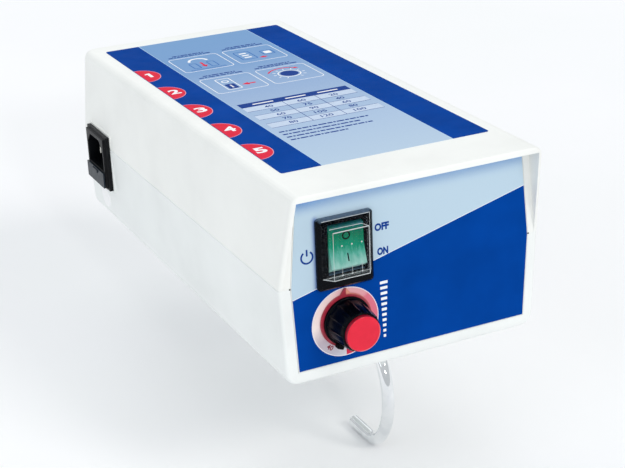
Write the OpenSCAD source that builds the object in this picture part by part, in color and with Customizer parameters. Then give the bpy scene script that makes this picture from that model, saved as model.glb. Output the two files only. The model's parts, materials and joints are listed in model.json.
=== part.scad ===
// Air pump for a pressure mattress or wrap: two moulded shells with a hood over
// the front panel, a covered rocker switch, a pressure knob, a mains inlet and a
// bed hook, with the twin diaphragm pump and the timed air distributor inside.
// Millimetres. X is to the right seen from the front, Y to the rear, Z up.
// The origin is the middle of the housing's flat underside.

/* [Housing] */
// Width of the housing at the parting line
case_w = 130; // [126:1:150]
// Length of the housing from the front panel to the rear
case_l = 264; // [258:1:300]
// Height of the lower shell, from the underside to the parting line
lower_h = 46.4; // [46:0.1:54]
// Height of the upper shell above the parting line
upper_h = 44.2; // [43:0.1:54]
// How far each side leans in at the top
top_draft = 4.2; // [3:0.1:7]
// How far each side leans in at the underside
base_draft = 2.3; // [1:0.1:4]
// Wall thickness of both shells
wall = 2.8; // [2.2:0.1:3.2]
// How far the hood stands out over the front panel at the roof
hood_reach = 9.5; // [5:0.5:14]
// Fillet along the long top edges
top_r = 4; // [3.5:0.5:7]
// Fillet along the bottom edges
base_r = 6; // [4:0.5:9]
// Radius of the upright rear corners
rear_r = 7; // [7:0.5:12]
// Radius of the upright front corners
front_r = 1.8; // [1:0.1:2.5]
// Depth of the fine groove along the parting line
seam = 0.4; // [0.2:0.1:0.6]

/* [Panels and labels] */
// White border between a side and the front label at the parting line
face_border = 6; // [5:0.1:8]
// White border between a side and the front label at its top
face_border_top = 5.8; // [4.2:0.1:7]
// White border under the front label
face_border_base = 6.7; // [6:0.1:9]
// Border of the rear panel's window beyond the front one's
rear_border = 7; // [6:0.5:12]
// Thickness of the lip in front of a panel's flange
lip_t = 2.5; // [2:0.1:3]
// Thickness of a panel's flange
flange_t = 2.5; // [2:0.1:3]
// Thickness of the printed labels
label_t = 0.3; // [0.2:0.05:0.5]
// Side border of the top label
top_label_side = 13.2; // [12:0.1:16]
// Border of the top label at the front
top_label_front = 20.6; // [15:0.1:30]
// Border of the top label at the rear
top_label_rear = 14.8; // [12:0.1:30]
// Width of the oval sticker under the inlet
sticker_w = 13; // [9:1:15]
// Height of the oval sticker under the inlet
sticker_h = 12; // [9:1:13]

/* [Feet and case screws] */
// Height of the rubber feet
foot_h = 10; // [10:0.5:14]
// Radius of a foot at the housing
foot_r = 9; // [8:0.5:10]
// Distance of the feet from the middle plane
foot_x = 40; // [37:1:42]
// Distance of the rear feet from the rear
foot_rear = 38; // [34:1:44]
// Distance of the front feet from the front
foot_front = 60; // [56:1:63]
// Distance of the case screws from a side
screw_side = 10.5; // [10:0.1:12]
// Distance of the front case screws from the front
screw_front = 20; // [16:1:24]
// Depth of the wells that the case screws sit in
screw_well = 30; // [24:1:34]
// Radius of every screw's shank
shank_r = 1.5; // [1.2:0.1:1.7]

/* [Bed hook] */
// Radius of the hook's rod
rod_r = 3; // [2.5:0.1:3.2]
// Radius of the hook's large bend, at the rod's centre line
hook_r = 34.6; // [30:0.1:38]
// Radius of the tighter bend at the hook's lower end
hook_tip_r = 14.5; // [10:0.5:18]
// Angle of the large bend
hook_bend = 131; // [120:1:140]
// Length of the straight lower end
hook_end = 17; // [8:1:30]
// Length of the straight upper arm under the housing
hook_arm = 78; // [70:1:90]
// Distance of the large bend's centre from the front
hook_y = 64.5; // [60:0.5:70]
// Sideways place of the hook
hook_x = 2; // [0:0.5:3]
// Depth of the rod's centre line below the underside
rod_drop = 4; // [3.8:0.1:4.6]
// Length of a hook bearing along the rod
bearing_l = 14; // [10:1:18]
// Width of a hook bearing
bearing_w = 32; // [30:1:36]
// Distance between the two bearings
bearing_gap = 32; // [26:1:38]

/* [Power switch] */
// Width of the switch frame
switch_w = 26.8; // [25:0.1:28]
// Height of the switch frame
switch_h = 33.1; // [32:0.1:35]
// Height of the switch frame off the label
switch_rise = 2.6; // [2:0.1:3.5]
// Distance of the switch's middle from the left side
switch_side = 31.1; // [30:0.1:33]
// Height of the switch's middle over the parting line
switch_z = 12.95; // [12:0.1:14]
// Width of the rocker
rocker_w = 16.8; // [15:0.1:17.5]
// Length of one half of the rocker's face
rocker_half = 9; // [8:0.1:9.3]
// Height of the rocker's pivot over the frame's middle
rocker_up = 2.1; // [1.8:0.1:2.6]
// Angle the rocker tips through from off to on
rocker_turn = 18; // [14:1:22]
// Height of the clear cover over the frame
cover_rise = 5.2; // [5:0.1:8]
// Wall of the clear cover
cover_t = 0.8; // [0.6:0.1:1]

/* [Pressure knob] */
// Distance of the knob's axis from the left side
knob_side = 30.7; // [29:0.1:33]
// Height of the knob's axis over the parting line, negative below it
knob_z = -19.7; // [-21:0.1:-19]
// How far the printed dial's middle lies below the knob's axis
dial_drop = 1.2; // [1:0.1:1.6]
// Radius of the knob's foot
knob_r = 11.2; // [10:0.1:11.5]
// Radius of the knob's front
knob_tip_r = 8.9; // [8:0.1:9.5]
// Height of the knob
knob_h = 15; // [12:0.1:18]
// Number of flutes round the knob
flutes = 24; // [12:1:30]
// Radius of the dial under the knob
dial_r = 16.2; // [15:0.1:16.5]
// Radius of the pointer's tip
pointer_tip = 15; // [13:0.1:15.5]
// Radius of the valve's spindle
spindle_r = 3; // [2.5:0.1:3.2]

/* [Mains inlet] */
// Width of the inlet's flange along the housing
inlet_w = 31; // [30:0.1:32]
// Height of the inlet's flange
inlet_h = 30.6; // [30:0.1:31]
// Distance of the inlet's middle from the rear
inlet_rear = 32.5; // [32.5:0.5:36]
// Height of the inlet's middle over the parting line, negative below it
inlet_z = -8.75; // [-10:0.05:-8]

/* [Air outlets] */
// Radius of a hose nozzle's plain stem
nozzle_r = 3.2; // [2.8:0.1:4]
// Length of a hose nozzle behind the rear panel
nozzle_l = 20; // [16:1:26]
// Distance between the two nozzles
nozzle_gap = 30; // [24:1:40]

/* [Pump and distributor] */
// Distance of the pump frame's rear edge from the housing's rear
pump_rear = 46; // [46:1:50]
// Width of the laminated core
core_w = 44; // [42:1:46]
// Radius of the pump heads
pump_head_r = 14; // [13:0.5:15]
// Radius of the valve motor
motor_r = 24; // [22:0.5:25]
// Distance of the valve motor's axis from the right side
motor_side = 39; // [38:0.5:40]
// Distance of the valve motor from the front
motor_front = 72; // [70:1:74]
// Outer radius of the inner air hoses
hose_r = 3.2; // [2.8:0.1:3.4]

/* [Hidden] */

$fn = 48;
fit = 0.15;         // gap between moulded pieces that seat in one another
run = 0.05;         // radial gap of a shaft in its bore
touch = 0.3;        // gap between pieces that move past one another
press = 0.02;       // gap round a piece that is pressed on
corner_n = 6;       // steps in a rounded corner
fillet_n = 5;       // steps in a filleted edge
through = 1;        // how far a cut runs past a face

front_y = -case_l / 2;
rear_y = case_l / 2;
top_z = lower_h + upper_h;
floor_z = wall;
roof_z = top_z - wall;
face_top = roof_z - 2;              // top of the front label, out of sight under the roof
panel_margin = 0.4;                 // panel showing beyond its label
flange_w = 0.9;                     // how far a panel's flange runs behind the lip
rib_t = 1.5;                        // rib behind a panel's flange
hood_wall = 2;                      // wall of the hood's sides
seat_l = lip_t + flange_t + fit + rib_t;
panel_back = lip_t + flange_t;
switch_x = switch_side - case_w / 2;
knob_x = knob_side - case_w / 2;
motor_x = case_w / 2 - motor_side;

// Half the housing's width, and its front edge, at a height
function side_x(z) = z < lower_h
    ? case_w / 2 - base_draft * (lower_h - z) / lower_h
    : case_w / 2 - top_draft * (z - lower_h) / upper_h;
function hood_y(z) = front_y - (z > lower_h ? hood_reach * (z - lower_h) / upper_h : 0);

// An arc in plan at height z, and a rounded rectangle from y0 to y1
function arc(cx, cy, r, a0, a1, z) = [for (i = [0:corner_n]) let (a = a0 + (a1 - a0) * i / corner_n)
    [cx + r * cos(a), cy + r * sin(a), z]];
function plan(x, y0, y1, rf, rr, z) = concat(
    arc(x - rf, y0 + rf, rf, -90, 0, z), arc(x - rr, y1 - rr, rr, 0, 90, z),
    arc(rr - x, y1 - rr, rr, 90, 180, z), arc(rf - x, y0 + rf, rf, 180, 270, z));

// Heights and insets of a rounded edge that ends at height z, turned up or down
function edge(z, r, up) = [for (i = [0:fillet_n]) let (a = 90 * i / fillet_n)
    [z - up * r * (1 - sin(a)), r * (1 - cos(a))]];
function backwards(list) = [for (i = [len(list) - 1:-1:0]) list[i]];

// A closed solid through rings of equal length, each counter-clockwise seen from the last
module loft(rings) {
    n = len(rings[0]);
    last = len(rings) - 1;
    polyhedron(
        [for (ring = rings) each ring],
        concat(
            [[for (i = [0:n - 1]) i], [for (i = [n - 1:-1:0]) last * n + i]],
            [for (k = [0:last - 1], i = [0:n - 1]) let (a = k * n, j = (i + 1) % n)
                each [[a + i, a + n + i, a + n + j], [a + i, a + n + j, a + j]]]),
        convexity = 8);
}

// The housing's form between levels of [height, inset]
function ring_at(level, inset, y0, rf) = plan(
    side_x(level[0]) - inset - level[1], y0, rear_y - inset - level[1], rf,
    max(rear_r - inset - level[1], 0.6), level[0]);
module skin_form(levels)
    loft([for (v = levels) ring_at(v, 0, hood_y(v[0]) + 0.35 * v[1], front_r)]);
module cavity_form(levels, inset, y0)
    loft([for (v = levels) ring_at(v, inset, y0, 0.6)]);

// A slab that stands across the housing, from y for a thickness t
module upright(y, t) translate([0, y + t, 0]) rotate([90, 0, 0]) linear_extrude(t) children();

// The front label's outline, and the rear window's, grown by g
module face_outline(g) {
    mid = case_w / 2 - face_border + g;
    top = side_x(face_top) - face_border_top + g;
    base = side_x(face_border_base) - face_border + g;
    polygon([[-mid, lower_h], [-base, face_border_base - g], [base, face_border_base - g],
        [mid, lower_h], [top, face_top + g], [-top, face_top + g]]);
}

// What both shells leave open for a panel: its window, its flange and the rib's window
module panel_seat(g) {
    upright(-through, seat_l + 2 * through) face_outline(g + panel_margin - 1);
    upright(-through, lip_t + 2 * through) face_outline(g + panel_margin + fit);
    upright(lip_t, flange_t + fit) face_outline(g + panel_margin + flange_w + fit);
}
module panel_seats() {
    translate([0, front_y, 0]) panel_seat(0);
    translate([0, rear_y, 0]) mirror([0, 1, 0]) panel_seat(-rear_border);
}
module panel(g) {
    upright(0, lip_t) face_outline(g + panel_margin);
    upright(lip_t, flange_t) face_outline(g + panel_margin + flange_w);
}

// Places of what repeats
boss_r = 5.2;
rear_screw_y = rear_y - panel_back - boss_r - 1;
front_screw_y = front_y + screw_front;
screw_x = case_w / 2 - screw_side;
screw_places = [for (x = [-screw_x, screw_x], y = [front_screw_y, rear_screw_y]) [x, y]];
foot_places = [for (x = [-foot_x, foot_x], y = [front_y + foot_front, rear_y - foot_rear]) [x, y]];
module at(places, z) for (p = places) translate([p[0], p[1], z]) children();

// Hook bearings: the front one sits just behind the large bend
hook_cy = front_y + hook_y;
bearing_h = rod_drop + rod_r + run + 1.4;
bearing_mid = hook_cy + 8 + bearing_l / 2;
bearing_ys = [bearing_mid, bearing_mid + bearing_gap + bearing_l];
bearing_screw_x = bearing_w / 2 - 5;
bearing_places = [for (x = [-1, 1], y = bearing_ys) [hook_x + x * bearing_screw_x, y]];

// A pan-head screw that points up, its head's seat at z = 0, with a cross recess
head_r = 3.4;
head_t = 2.4;
module pan_screw(length) difference() {
    union() {
        translate([0, 0, -head_t]) cylinder(h = head_t / 2, r1 = head_r * 0.7, r2 = head_r);
        translate([0, 0, -head_t / 2]) cylinder(h = head_t / 2, r = head_r);
        cylinder(h = length, r = shank_r);
    }
    for (a = [0, 90]) rotate([0, 0, a]) translate([-0.4, -1.8, -head_t - through])
        cube([0.8, 3.6, through + 1.3]);
}

// Depth of the blind holes that screws bite in, and their bosses on the floor
bite = 9;
pilot_r = shank_r + run;
module floor_boss(places, h, r) at(places, 0) cylinder(h = h, r = r);

// Pump and motor places
plate_t = 2.5;
mount_h = 6;
plate_z = floor_z + mount_h;
plate_top = plate_z + plate_t;
pump_l = 80;
pump_w = 80;
pump_y1 = rear_y - pump_rear;
pump_y0 = pump_y1 - pump_l;
mount_in = 6;                       // from the plate's side edges to a mount's axis
mount_end = 8;                      // from the plate's ends to a mount's axis
mount_x = pump_w / 2 - mount_in;
mount_places = [for (x = [-mount_x, mount_x], y = [pump_y0 + mount_end, pump_y1 - mount_end]) [x, y]];
motor_y = front_y + motor_front;
motor_z = 13;
motor_t = 18;
motor_ear = motor_r + 4;
motor_posts = [for (x = [-motor_ear, motor_ear]) [motor_x + x, motor_y]];

// Intake slots in the underside, under the filter
slot_y = bearing_ys[1] + 30;
slot_count = 7;
slot_pitch = 6;
slot_l = 34;
module intake_slots() for (i = [0:slot_count - 1])
    translate([-slot_l / 2, slot_y + (i - (slot_count - 1) / 2) * slot_pitch - 1.25, -through])
        cube([slot_l, 2.5, wall + 2 * through]);

// The inlet sits on a flat pad that crosses the parting line
inlet_y = rear_y - inlet_rear;
inlet_cz = lower_h + inlet_z;
inlet_body_w = inlet_w - 4;
inlet_body_h = inlet_h - 3;
inlet_depth = 24;
pad_x = -case_w / 2;
module inlet_pad(z0, z1) translate([pad_x, inlet_y - inlet_w / 2 - 1, z0])
    cube([wall + base_draft, inlet_w + 2, z1 - z0]);
module inlet_hole() translate([pad_x - through, inlet_y - inlet_body_w / 2 - fit,
    inlet_cz - inlet_body_h / 2 - fit])
    cube([wall + base_draft + 12, inlet_body_w + 2 * fit, inlet_body_h + 2 * fit]);

tongue_in = 1.4;
tongue_h = 1.6;
module tongue_form(inset, h) intersection() {
    cavity_form([[lower_h - through, 0], [lower_h + h, 0]], inset, front_y);
    translate([-case_w, front_y + seat_l + 2, 0])
        cube([2 * case_w, case_l - 2 * seat_l - 4, top_z]);
}

module lower_shell() color("#e4eae8") difference() {
    union() {
        difference() {
            skin_form(concat(backwards(edge(0, base_r, -1)), [[lower_h - seam, 0], [lower_h, seam]]));
            cavity_form(concat(backwards(edge(floor_z, base_r - wall, -1)), [[lower_h + through, 0]]),
                wall, front_y + seat_l);
            panel_seats();
        }
        difference() {
            tongue_form(tongue_in, tongue_h);
            cavity_form([[lower_h - 2 * through, 0], [lower_h + tongue_h + through, 0]], wall, front_y);
        }
        floor_boss(screw_places, lower_h, boss_r);
        floor_boss(foot_places, bite + 2, 4);
        floor_boss(bearing_places, bite + 2, 4);
        floor_boss(motor_posts, motor_z, 4.2);
        inlet_pad(inlet_cz - inlet_h / 2 - 1, lower_h - seam);
    }
    at(screw_places, -through) cylinder(h = screw_well + through, r = head_r + 0.5);
    at(screw_places, 0) cylinder(h = lower_h + through, r = shank_r + 0.4);
    at(foot_places, -through) cylinder(h = bite + through, r = pilot_r);
    at(bearing_places, -through) cylinder(h = bite + through, r = pilot_r);
    at(motor_posts, motor_z - bite) cylinder(h = bite + through, r = pilot_r);
    intake_slots();
    inlet_hole();
}

module upper_shell() color("#fafaf6") difference() {
    union() {
        difference() {
            union() {
                difference() {
                    skin_form(concat([[lower_h, seam], [lower_h + seam, 0]], edge(top_z, top_r, 1)));
                    cavity_form(concat([[lower_h - through, 0]], edge(roof_z, top_r - wall, 1)),
                        wall, front_y + seat_l);
                }
                inlet_pad(lower_h + seam, inlet_cz + inlet_h / 2 + 1);
            }
            hood_recess();
            panel_seats();
            tongue_form(tongue_in - fit, tongue_h + fit);
        }
        at(screw_places, lower_h) cylinder(h = roof_z - lower_h + 0.5, r = boss_r - 0.6);
    }
    at(screw_places, lower_h - through) cylinder(h = 16 + through, r = pilot_r);
    inlet_hole();
}

// The open space under the hood, in front of the panel
module hood_recess() {
    function span(z) = [
        [hood_wall - side_x(z), front_y - 2 * hood_reach, z],
        [side_x(z) - hood_wall, front_y - 2 * hood_reach, z],
        [side_x(z) - hood_wall, front_y, z], [hood_wall - side_x(z), front_y, z]];
    loft([span(lower_h - through), span(roof_z)]);
}

// Holes for the switch and the valve's bush, through the panel and its label
switch_cz = lower_h + switch_z;
housing_w = switch_w - 5;
housing_h = switch_h - 5;
bush_r = 4.5;
knob_cz = lower_h + knob_z;
module control_holes() {
    translate([switch_x, switch_cz]) square([housing_w + 2 * fit, housing_h + 2 * fit], center = true);
    translate([knob_x, knob_cz]) circle(r = bush_r + fit);
}

module front_panel() color("#f4f4f0") difference() {
    translate([0, front_y, 0]) panel(0);
    upright(front_y - through, panel_back + 2 * through) control_holes();
}

nozzle_z = lower_h + 6;
nozzle_places = [-nozzle_gap / 2, nozzle_gap / 2];
thread_r = 4.8;
module rear_panel() color("#f0f0ec") difference() {
    translate([0, rear_y, 0]) mirror([0, 1, 0]) panel(-rear_border);
    for (x = nozzle_places) translate([x, rear_y - panel_back - through, nozzle_z])
        rotate([-90, 0, 0]) cylinder(h = panel_back + 2 * through, r = thread_r + fit);
}

module front_label() color("#0f4fa8") upright(front_y - label_t, label_t) difference() {
    face_outline(0);
    control_holes();
}

module top_label() color("#0b4aa5")
    translate([top_label_side - case_w / 2, front_y + top_label_front, top_z])
        cube([case_w - 2 * top_label_side, case_l - top_label_front - top_label_rear, label_t]);

// The sticker lies on the leaning lower wall, clear of the bottom fillet
lean = atan(base_draft / lower_h);
sticker_cz = base_r + sticker_h / 2 + 1;
module side_sticker() color("#fdfdfb")
    translate([-side_x(sticker_cz), inlet_y + 4, sticker_cz]) rotate([0, -90 - lean, 0])
        linear_extrude(label_t) hull() {
            for (s = [-1, 1]) translate([0, s * (sticker_w - sticker_h) / 2]) circle(d = sticker_h);
        }

module case_screws() color("#9a9ea2") at(screw_places, screw_well) pan_screw(lower_h - screw_well + 14);

module rubber_feet() color("#2a2a2c") at(foot_places, -foot_h) difference() {
    union() {
        cylinder(h = 1.5, r1 = foot_r - 2.2, r2 = foot_r - 1);
        translate([0, 0, 1.5]) cylinder(h = foot_h - 1.5, r1 = foot_r - 1, r2 = foot_r);
    }
    translate([0, 0, -through]) cylinder(h = foot_h / 2 + through, r = head_r + 0.5);
    cylinder(h = foot_h + through, r = shank_r + run);
}
module foot_screws() color("#9a9ea2") at(foot_places, -foot_h / 2) pan_screw(foot_h / 2 + bite - 1);

// The hook's bends: the centre line as [y, z, turn], from the upper arm down and back
tip_cy = -(hook_r - hook_tip_r) * sin(hook_bend);
tip_cz = -hook_r + (hook_r - hook_tip_r) * cos(hook_bend);
hook_line = concat(
    [for (i = [0:14]) let (a = hook_bend * i / 14) [-hook_r * sin(a), hook_r * (cos(a) - 1), a]],
    [for (i = [1:6]) let (a = hook_bend + (180 - hook_bend) * i / 6)
        [tip_cy - hook_tip_r * sin(a), tip_cz + hook_tip_r * cos(a), a]]);
hook_low = hook_line[len(hook_line) - 1];
tip_bevel = 0.6;
function rod_ring(p, r, n) = [for (i = [0:n - 1]) let (b = 360 * i / n)
    [r * cos(b), p[0] - r * sin(b) * sin(p[2]), p[1] + r * sin(b) * cos(p[2])]];
module hook_rod() color("#c9ccd0") translate([hook_x, hook_cy, -rod_drop]) {
    rotate([-90, 0, 0]) cylinder(h = hook_arm, r = rod_r);
    loft(concat([for (p = hook_line) rod_ring(p, rod_r, 16)],
        [rod_ring(hook_low + [hook_end - tip_bevel, 0, 0], rod_r, 16)],
        [rod_ring(hook_low + [hook_end, 0, 0], rod_r - tip_bevel, 16)]));
}

collar_l = 5;
module hook_collars() color("#8f9296") for (y = [
        bearing_ys[0] + bearing_l / 2 + touch,
        bearing_ys[1] - bearing_l / 2 - touch - collar_l])
    translate([hook_x, y, -rod_drop]) rotate([-90, 0, 0]) difference() {
        cylinder(h = collar_l, r = rod_drop - 0.2);
        translate([0, 0, -through]) cylinder(h = collar_l + 2 * through, r = rod_r + press);
    }

module hook_bearings() color("#dfe3e2") for (y = bearing_ys) translate([hook_x, y, 0]) difference() {
    rotate([90, 0, 0]) linear_extrude(bearing_l, center = true) polygon([
        [-bearing_w / 2, 0], [bearing_w / 2, 0], [bearing_w / 2, -3.4],
        [rod_r + 4.5, -bearing_h], [-rod_r - 4.5, -bearing_h], [-bearing_w / 2, -3.4]]);
    translate([0, 0, -rod_drop]) rotate([90, 0, 0])
        cylinder(h = bearing_l + 2 * through, r = rod_r + run, center = true);
    for (x = [-bearing_screw_x, bearing_screw_x]) {
        translate([x, 0, -bearing_h]) cylinder(h = bearing_h + through, r = shank_r + 0.2);
        translate([x, 0, -bearing_h - through]) cylinder(h = bearing_h - 3 + through, r = head_r + 0.4);
    }
}
module bearing_screws() color("#9a9ea2") at(bearing_places, -3) pan_screw(bite + 2);

// Switch: frame and housing in one, with a window that the rocker tips in
pivot_z = switch_cz + rocker_up;
pivot_in = 2;                       // pivot behind the panel's face
face_in = 5.1;                      // rocker's valley in front of the pivot
end_in = face_in + rocker_half * tan(rocker_turn / 2);
rocker_reach = norm([rocker_half, end_in]);
window_h = 2 * rocker_reach + 2 * touch;
window_w = rocker_w + 2 * touch;
housing_l = 24;
housing_back = front_y - label_t - 0.5 + housing_l;
tag_l = 8;                          // length of a flat terminal
frame_r = 1.6;
frame_chamfer = 1.2;
quarters = [[1, 1, 0], [-1, 1, 90], [-1, -1, 180], [1, -1, 270]];
function round_outline(w, h, r) = [for (c = quarters, i = [0:corner_n]) let (a = c[2] + 90 * i / corner_n)
    [c[0] * (w / 2 - r) + r * cos(a), c[1] * (h / 2 - r) + r * sin(a)]];
function frame_ring(grow, y) = [
    for (p = round_outline(switch_w + 2 * grow, switch_h + 2 * grow, frame_r))
        [switch_x + p[0], y, switch_cz + p[1]]];
module switch_body() color("#17181a") difference() {
    union() {
        loft([frame_ring(0, front_y - label_t), frame_ring(0, cover_y + frame_chamfer),
            frame_ring(-frame_chamfer, cover_y)]);
        translate([switch_x - housing_w / 2, front_y - label_t - 0.5, switch_cz - housing_h / 2])
            cube([housing_w, housing_l, housing_h]);
    }
    translate([switch_x - window_w / 2, front_y - 10, pivot_z - window_h / 2])
        cube([window_w, 10 + pivot_in + rocker_reach + touch, window_h]);
    translate([switch_x, front_y + pivot_in, pivot_z]) rotate([0, 90, 0])
        cylinder(h = window_w + 3, r = 1.5 + run, center = true);
}

// The rocker in its off position, tipped half its turn so that its lower half stands out
rocker_skin = 1.6;
module tipped() translate([switch_x, front_y + pivot_in, pivot_z])
    rotate([-rocker_turn / 2, 0, 0]) children();
module switch_rocker() color("#0f8f66") tipped() {
    difference() {
        rotate([90, 0, 90]) linear_extrude(rocker_w, center = true) rocker_profile();
        rotate([90, 0, 90]) linear_extrude(rocker_w - 2 * rocker_skin, center = true) polygon([
            [rocker_skin - face_in, 3], [rocker_skin - face_in, -3], [6, -4.5], [6, 4.5]]);
    }
    for (s = [-1, 1]) translate([s * (rocker_w / 2 + window_w / 2 + 1) / 2 - s * 0.2, 0, 0])
        rotate([0, 90, 0]) cylinder(h = 1.5, r = 1.5, center = true);
}
// Seen from the side in its middle position: two faces that meet in a shallow valley
rocker_end = atan2(rocker_half, end_in);
module rocker_profile() polygon(concat(
    [[-face_in, 0]],
    [for (i = [0:5]) let (a = rocker_end + 7 * i) rocker_reach * [-cos(a), sin(a)]],
    [[4.6, 5.5], [4.6, -5.5]],
    [for (i = [5:-1:0]) let (a = rocker_end + 7 * i) rocker_reach * [-cos(a), -sin(a)]]));

// A small lamp lies behind the valley of the see-through rocker
lamp_r = 1.2;
module rocker_lamp() color("#f0e6c8") tipped() translate([0, rocker_skin - face_in + lamp_r + touch, 0])
    rotate([0, 90, 0]) cylinder(h = rocker_w - 6, r = lamp_r, center = true);

// The soft clear cover: a tapered box over the rocker, its edge lying on the frame
cover_z = pivot_z + 0.45;
cover_w = window_w + 5.8;
cover_h = window_h + 3.8;
cover_y = front_y - label_t - switch_rise;
module box_form(grow, y0, y1) {
    function corner(x, z, y) = [switch_x + x, y, cover_z + z];
    function ring(w, h0, h1, y) = [
        corner(w, h1, y), corner(-w, h1, y), corner(-w, -h0, y), corner(w, -h0, y)];
    loft([ring(cover_w / 2 + grow, cover_h / 2 + grow, cover_h / 2 + grow, y0),
        ring(cover_w / 2 - 2.9 + grow, cover_h / 2 - 0.5 + grow, cover_h / 2 - 4 + grow, y1)]);
}
module switch_cover() color("#dfeaf0", 0.35) {
    difference() {
        box_form(0, cover_y, cover_y - cover_rise);
        box_form(-cover_t, cover_y + through, cover_y - cover_rise + cover_t);
    }
    // three fine ribs inside the front, below the rocker
    for (x = [-4.6, 0.1, 4.8]) translate([switch_x + x - 0.3, cover_y - cover_rise + cover_t / 2,
        cover_z - cover_h / 2 + cover_t]) cube([0.6, 1, 3.4]);
}

module switch_terminals() color("#c9a24a") for (x = [-6, 6], z = [-8, 0, 8])
    translate([switch_x + x - 0.4, housing_back, switch_cz + z - 2.4]) cube([0.8, tag_l, 4.8]);

module dial_plate() color("#f3d9dc") upright(front_y - 2 * label_t, label_t)
    translate([knob_x, knob_cz]) difference() {
        translate([0, -dial_drop]) circle(r = dial_r);
        circle(r = bush_r + fit);
    }

// Knob parts, drawn with their axis along -Y from the dial's face
dial_y = front_y - 2 * label_t;
pointer_t = 0.9;
nut_t = 2.4;
well_r = 8;
knob_y = dial_y - touch - pointer_t;
module on_axis(y) translate([knob_x, y, knob_cz]) rotate([90, 0, 0]) children();

module pointer_disc() color("#a3202c") on_axis(dial_y - touch) linear_extrude(pointer_t) difference() {
    union() {
        circle(r = knob_r + 1.2);
        polygon([[-3.2, knob_r], [3.2, knob_r], [0.5, pointer_tip], [-0.5, pointer_tip]]);
    }
    circle(r = well_r);
}

// The knob's outline at a height: four points to a flute of a depth, the third at its bottom
flute_d = 0.45;
foot_t = 1.6;
dips = [0, 0.6, 1, 0.6];
grip_turn = 157;                    // from the pointer's tip round to the finger nub
grip_w = 3.2;
cap_r = knob_tip_r - 0.7;
cap_seat = 1.4;                     // the cap's seat below the knob's height, and the rim round it
rim_drop = 0.4;
roof_t = 1.6;                       // plastic left between the spindle's bore and the cap's seat
function fluted(r, depth, z) = [for (i = [0:flutes * 4 - 1])
    let (a = i * 90 / flutes, q = r - depth * dips[i % 4]) [q * cos(a), q * sin(a), z]];
module pressure_knob() color("#141416") on_axis(knob_y) difference() {
    union() {
        loft([fluted(knob_r, 0, 0), fluted(knob_r, 0, foot_t), fluted(knob_r - 0.7, flute_d, foot_t),
            fluted(knob_tip_r + 0.6, flute_d, knob_h - 2), fluted(knob_tip_r, flute_d, knob_h - rim_drop),
            fluted(cap_r, 0, knob_h - rim_drop), fluted(cap_r, 0, knob_h - cap_seat)]);
        rotate([0, 0, grip_turn]) translate([-grip_w / 2, knob_r - 1.5, 0]) cube([grip_w, 3, grip_w]);
    }
    translate([0, 0, -through]) cylinder(h = nut_t + 1.5 + through, r = well_r);
    cylinder(h = knob_h - cap_seat - roof_t, r = spindle_r + press);
}
module knob_cap() color("#e5203a") on_axis(knob_y) translate([0, 0, knob_h - cap_seat])
    rotate_extrude() polygon(concat([[0, 0], [cap_r - run, 0]],
        [for (i = [0:6]) let (a = 15 * i) [(cap_r - run) * cos(a), 1.6 + 1.1 * sin(a)]]));

spindle_in = 18;                    // how far the spindle runs back from the knob's foot
valve_l = 19;
valve_r = 9.5;
bush_end = 0.8;                     // thread showing beyond the nut
module valve_spindle() color("#c8b36a") on_axis(knob_y + spindle_in)
    cylinder(h = spindle_in + knob_h - cap_seat - roof_t - 0.2, r = spindle_r);
module pressure_valve() color("#cfd2d4") on_axis(front_y + panel_back) difference() {
    union() {
        cylinder(h = panel_back + 2 * label_t + nut_t + bush_end, r = bush_r);
        translate([0, 0, -valve_l]) cylinder(h = valve_l, r = valve_r);
        translate([0, 0, -valve_l - port_l]) cylinder(h = port_l + 1, r = port_r);
    }
    translate([0, 0, front_y + panel_back - knob_y - spindle_in - touch])
        cylinder(h = valve_l + panel_back + spindle_in, r = spindle_r + run);
}
module valve_nut() color("#b9bcc0") on_axis(dial_y) difference() {
    cylinder(h = nut_t, r = 7, $fn = 6);
    translate([0, 0, -through]) cylinder(h = nut_t + 2 * through, r = bush_r + press);
}

// Mains inlet: flange and body, with the socket above and the fuse drawer below
inlet_flange = 2.2;                 // thickness of the flange
inlet_step = 1.3;                   // how far its middle stands out
flange_x = pad_x - inlet_flange;
socket_w = 24;
socket_h = 16.4;
socket_z = inlet_cz + inlet_h / 2 - 3.4 - socket_h / 2;
socket_l = 17.5;
drawer_w = 22;
drawer_h = 7;
drawer_z = inlet_cz - inlet_h / 2 + 6;
drawer_l = 21;
tray_face = [0.8, inlet_w - 4, 8.6]; // the drawer's face plate, in front of the inlet's face
fuse_y = 5.5;
module inlet_body() color("#1b1c1e") difference() {
    union() {
        translate([flange_x, inlet_y - inlet_w / 2, inlet_cz - inlet_h / 2])
            cube([inlet_flange, inlet_w, inlet_h]);
        translate([flange_x - inlet_step, inlet_y - inlet_w / 2 + 1.6, inlet_cz - inlet_h / 2 + 1.3])
            cube([inlet_flange + inlet_step, inlet_w - 3.2, inlet_h - 2.6]);
        translate([flange_x, inlet_y - inlet_body_w / 2, inlet_cz - inlet_body_h / 2])
            cube([inlet_depth + inlet_flange, inlet_body_w, inlet_body_h]);
    }
    translate([flange_x - inlet_step - through, inlet_y, socket_z]) socket_form(socket_l + through);
    translate([flange_x - inlet_step - through, inlet_y - drawer_w / 2 - fit,
        drawer_z - drawer_h / 2 - fit])
        cube([drawer_l + inlet_step + 1 + through, drawer_w + 2 * fit, drawer_h + 2 * fit]);
}
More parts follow.
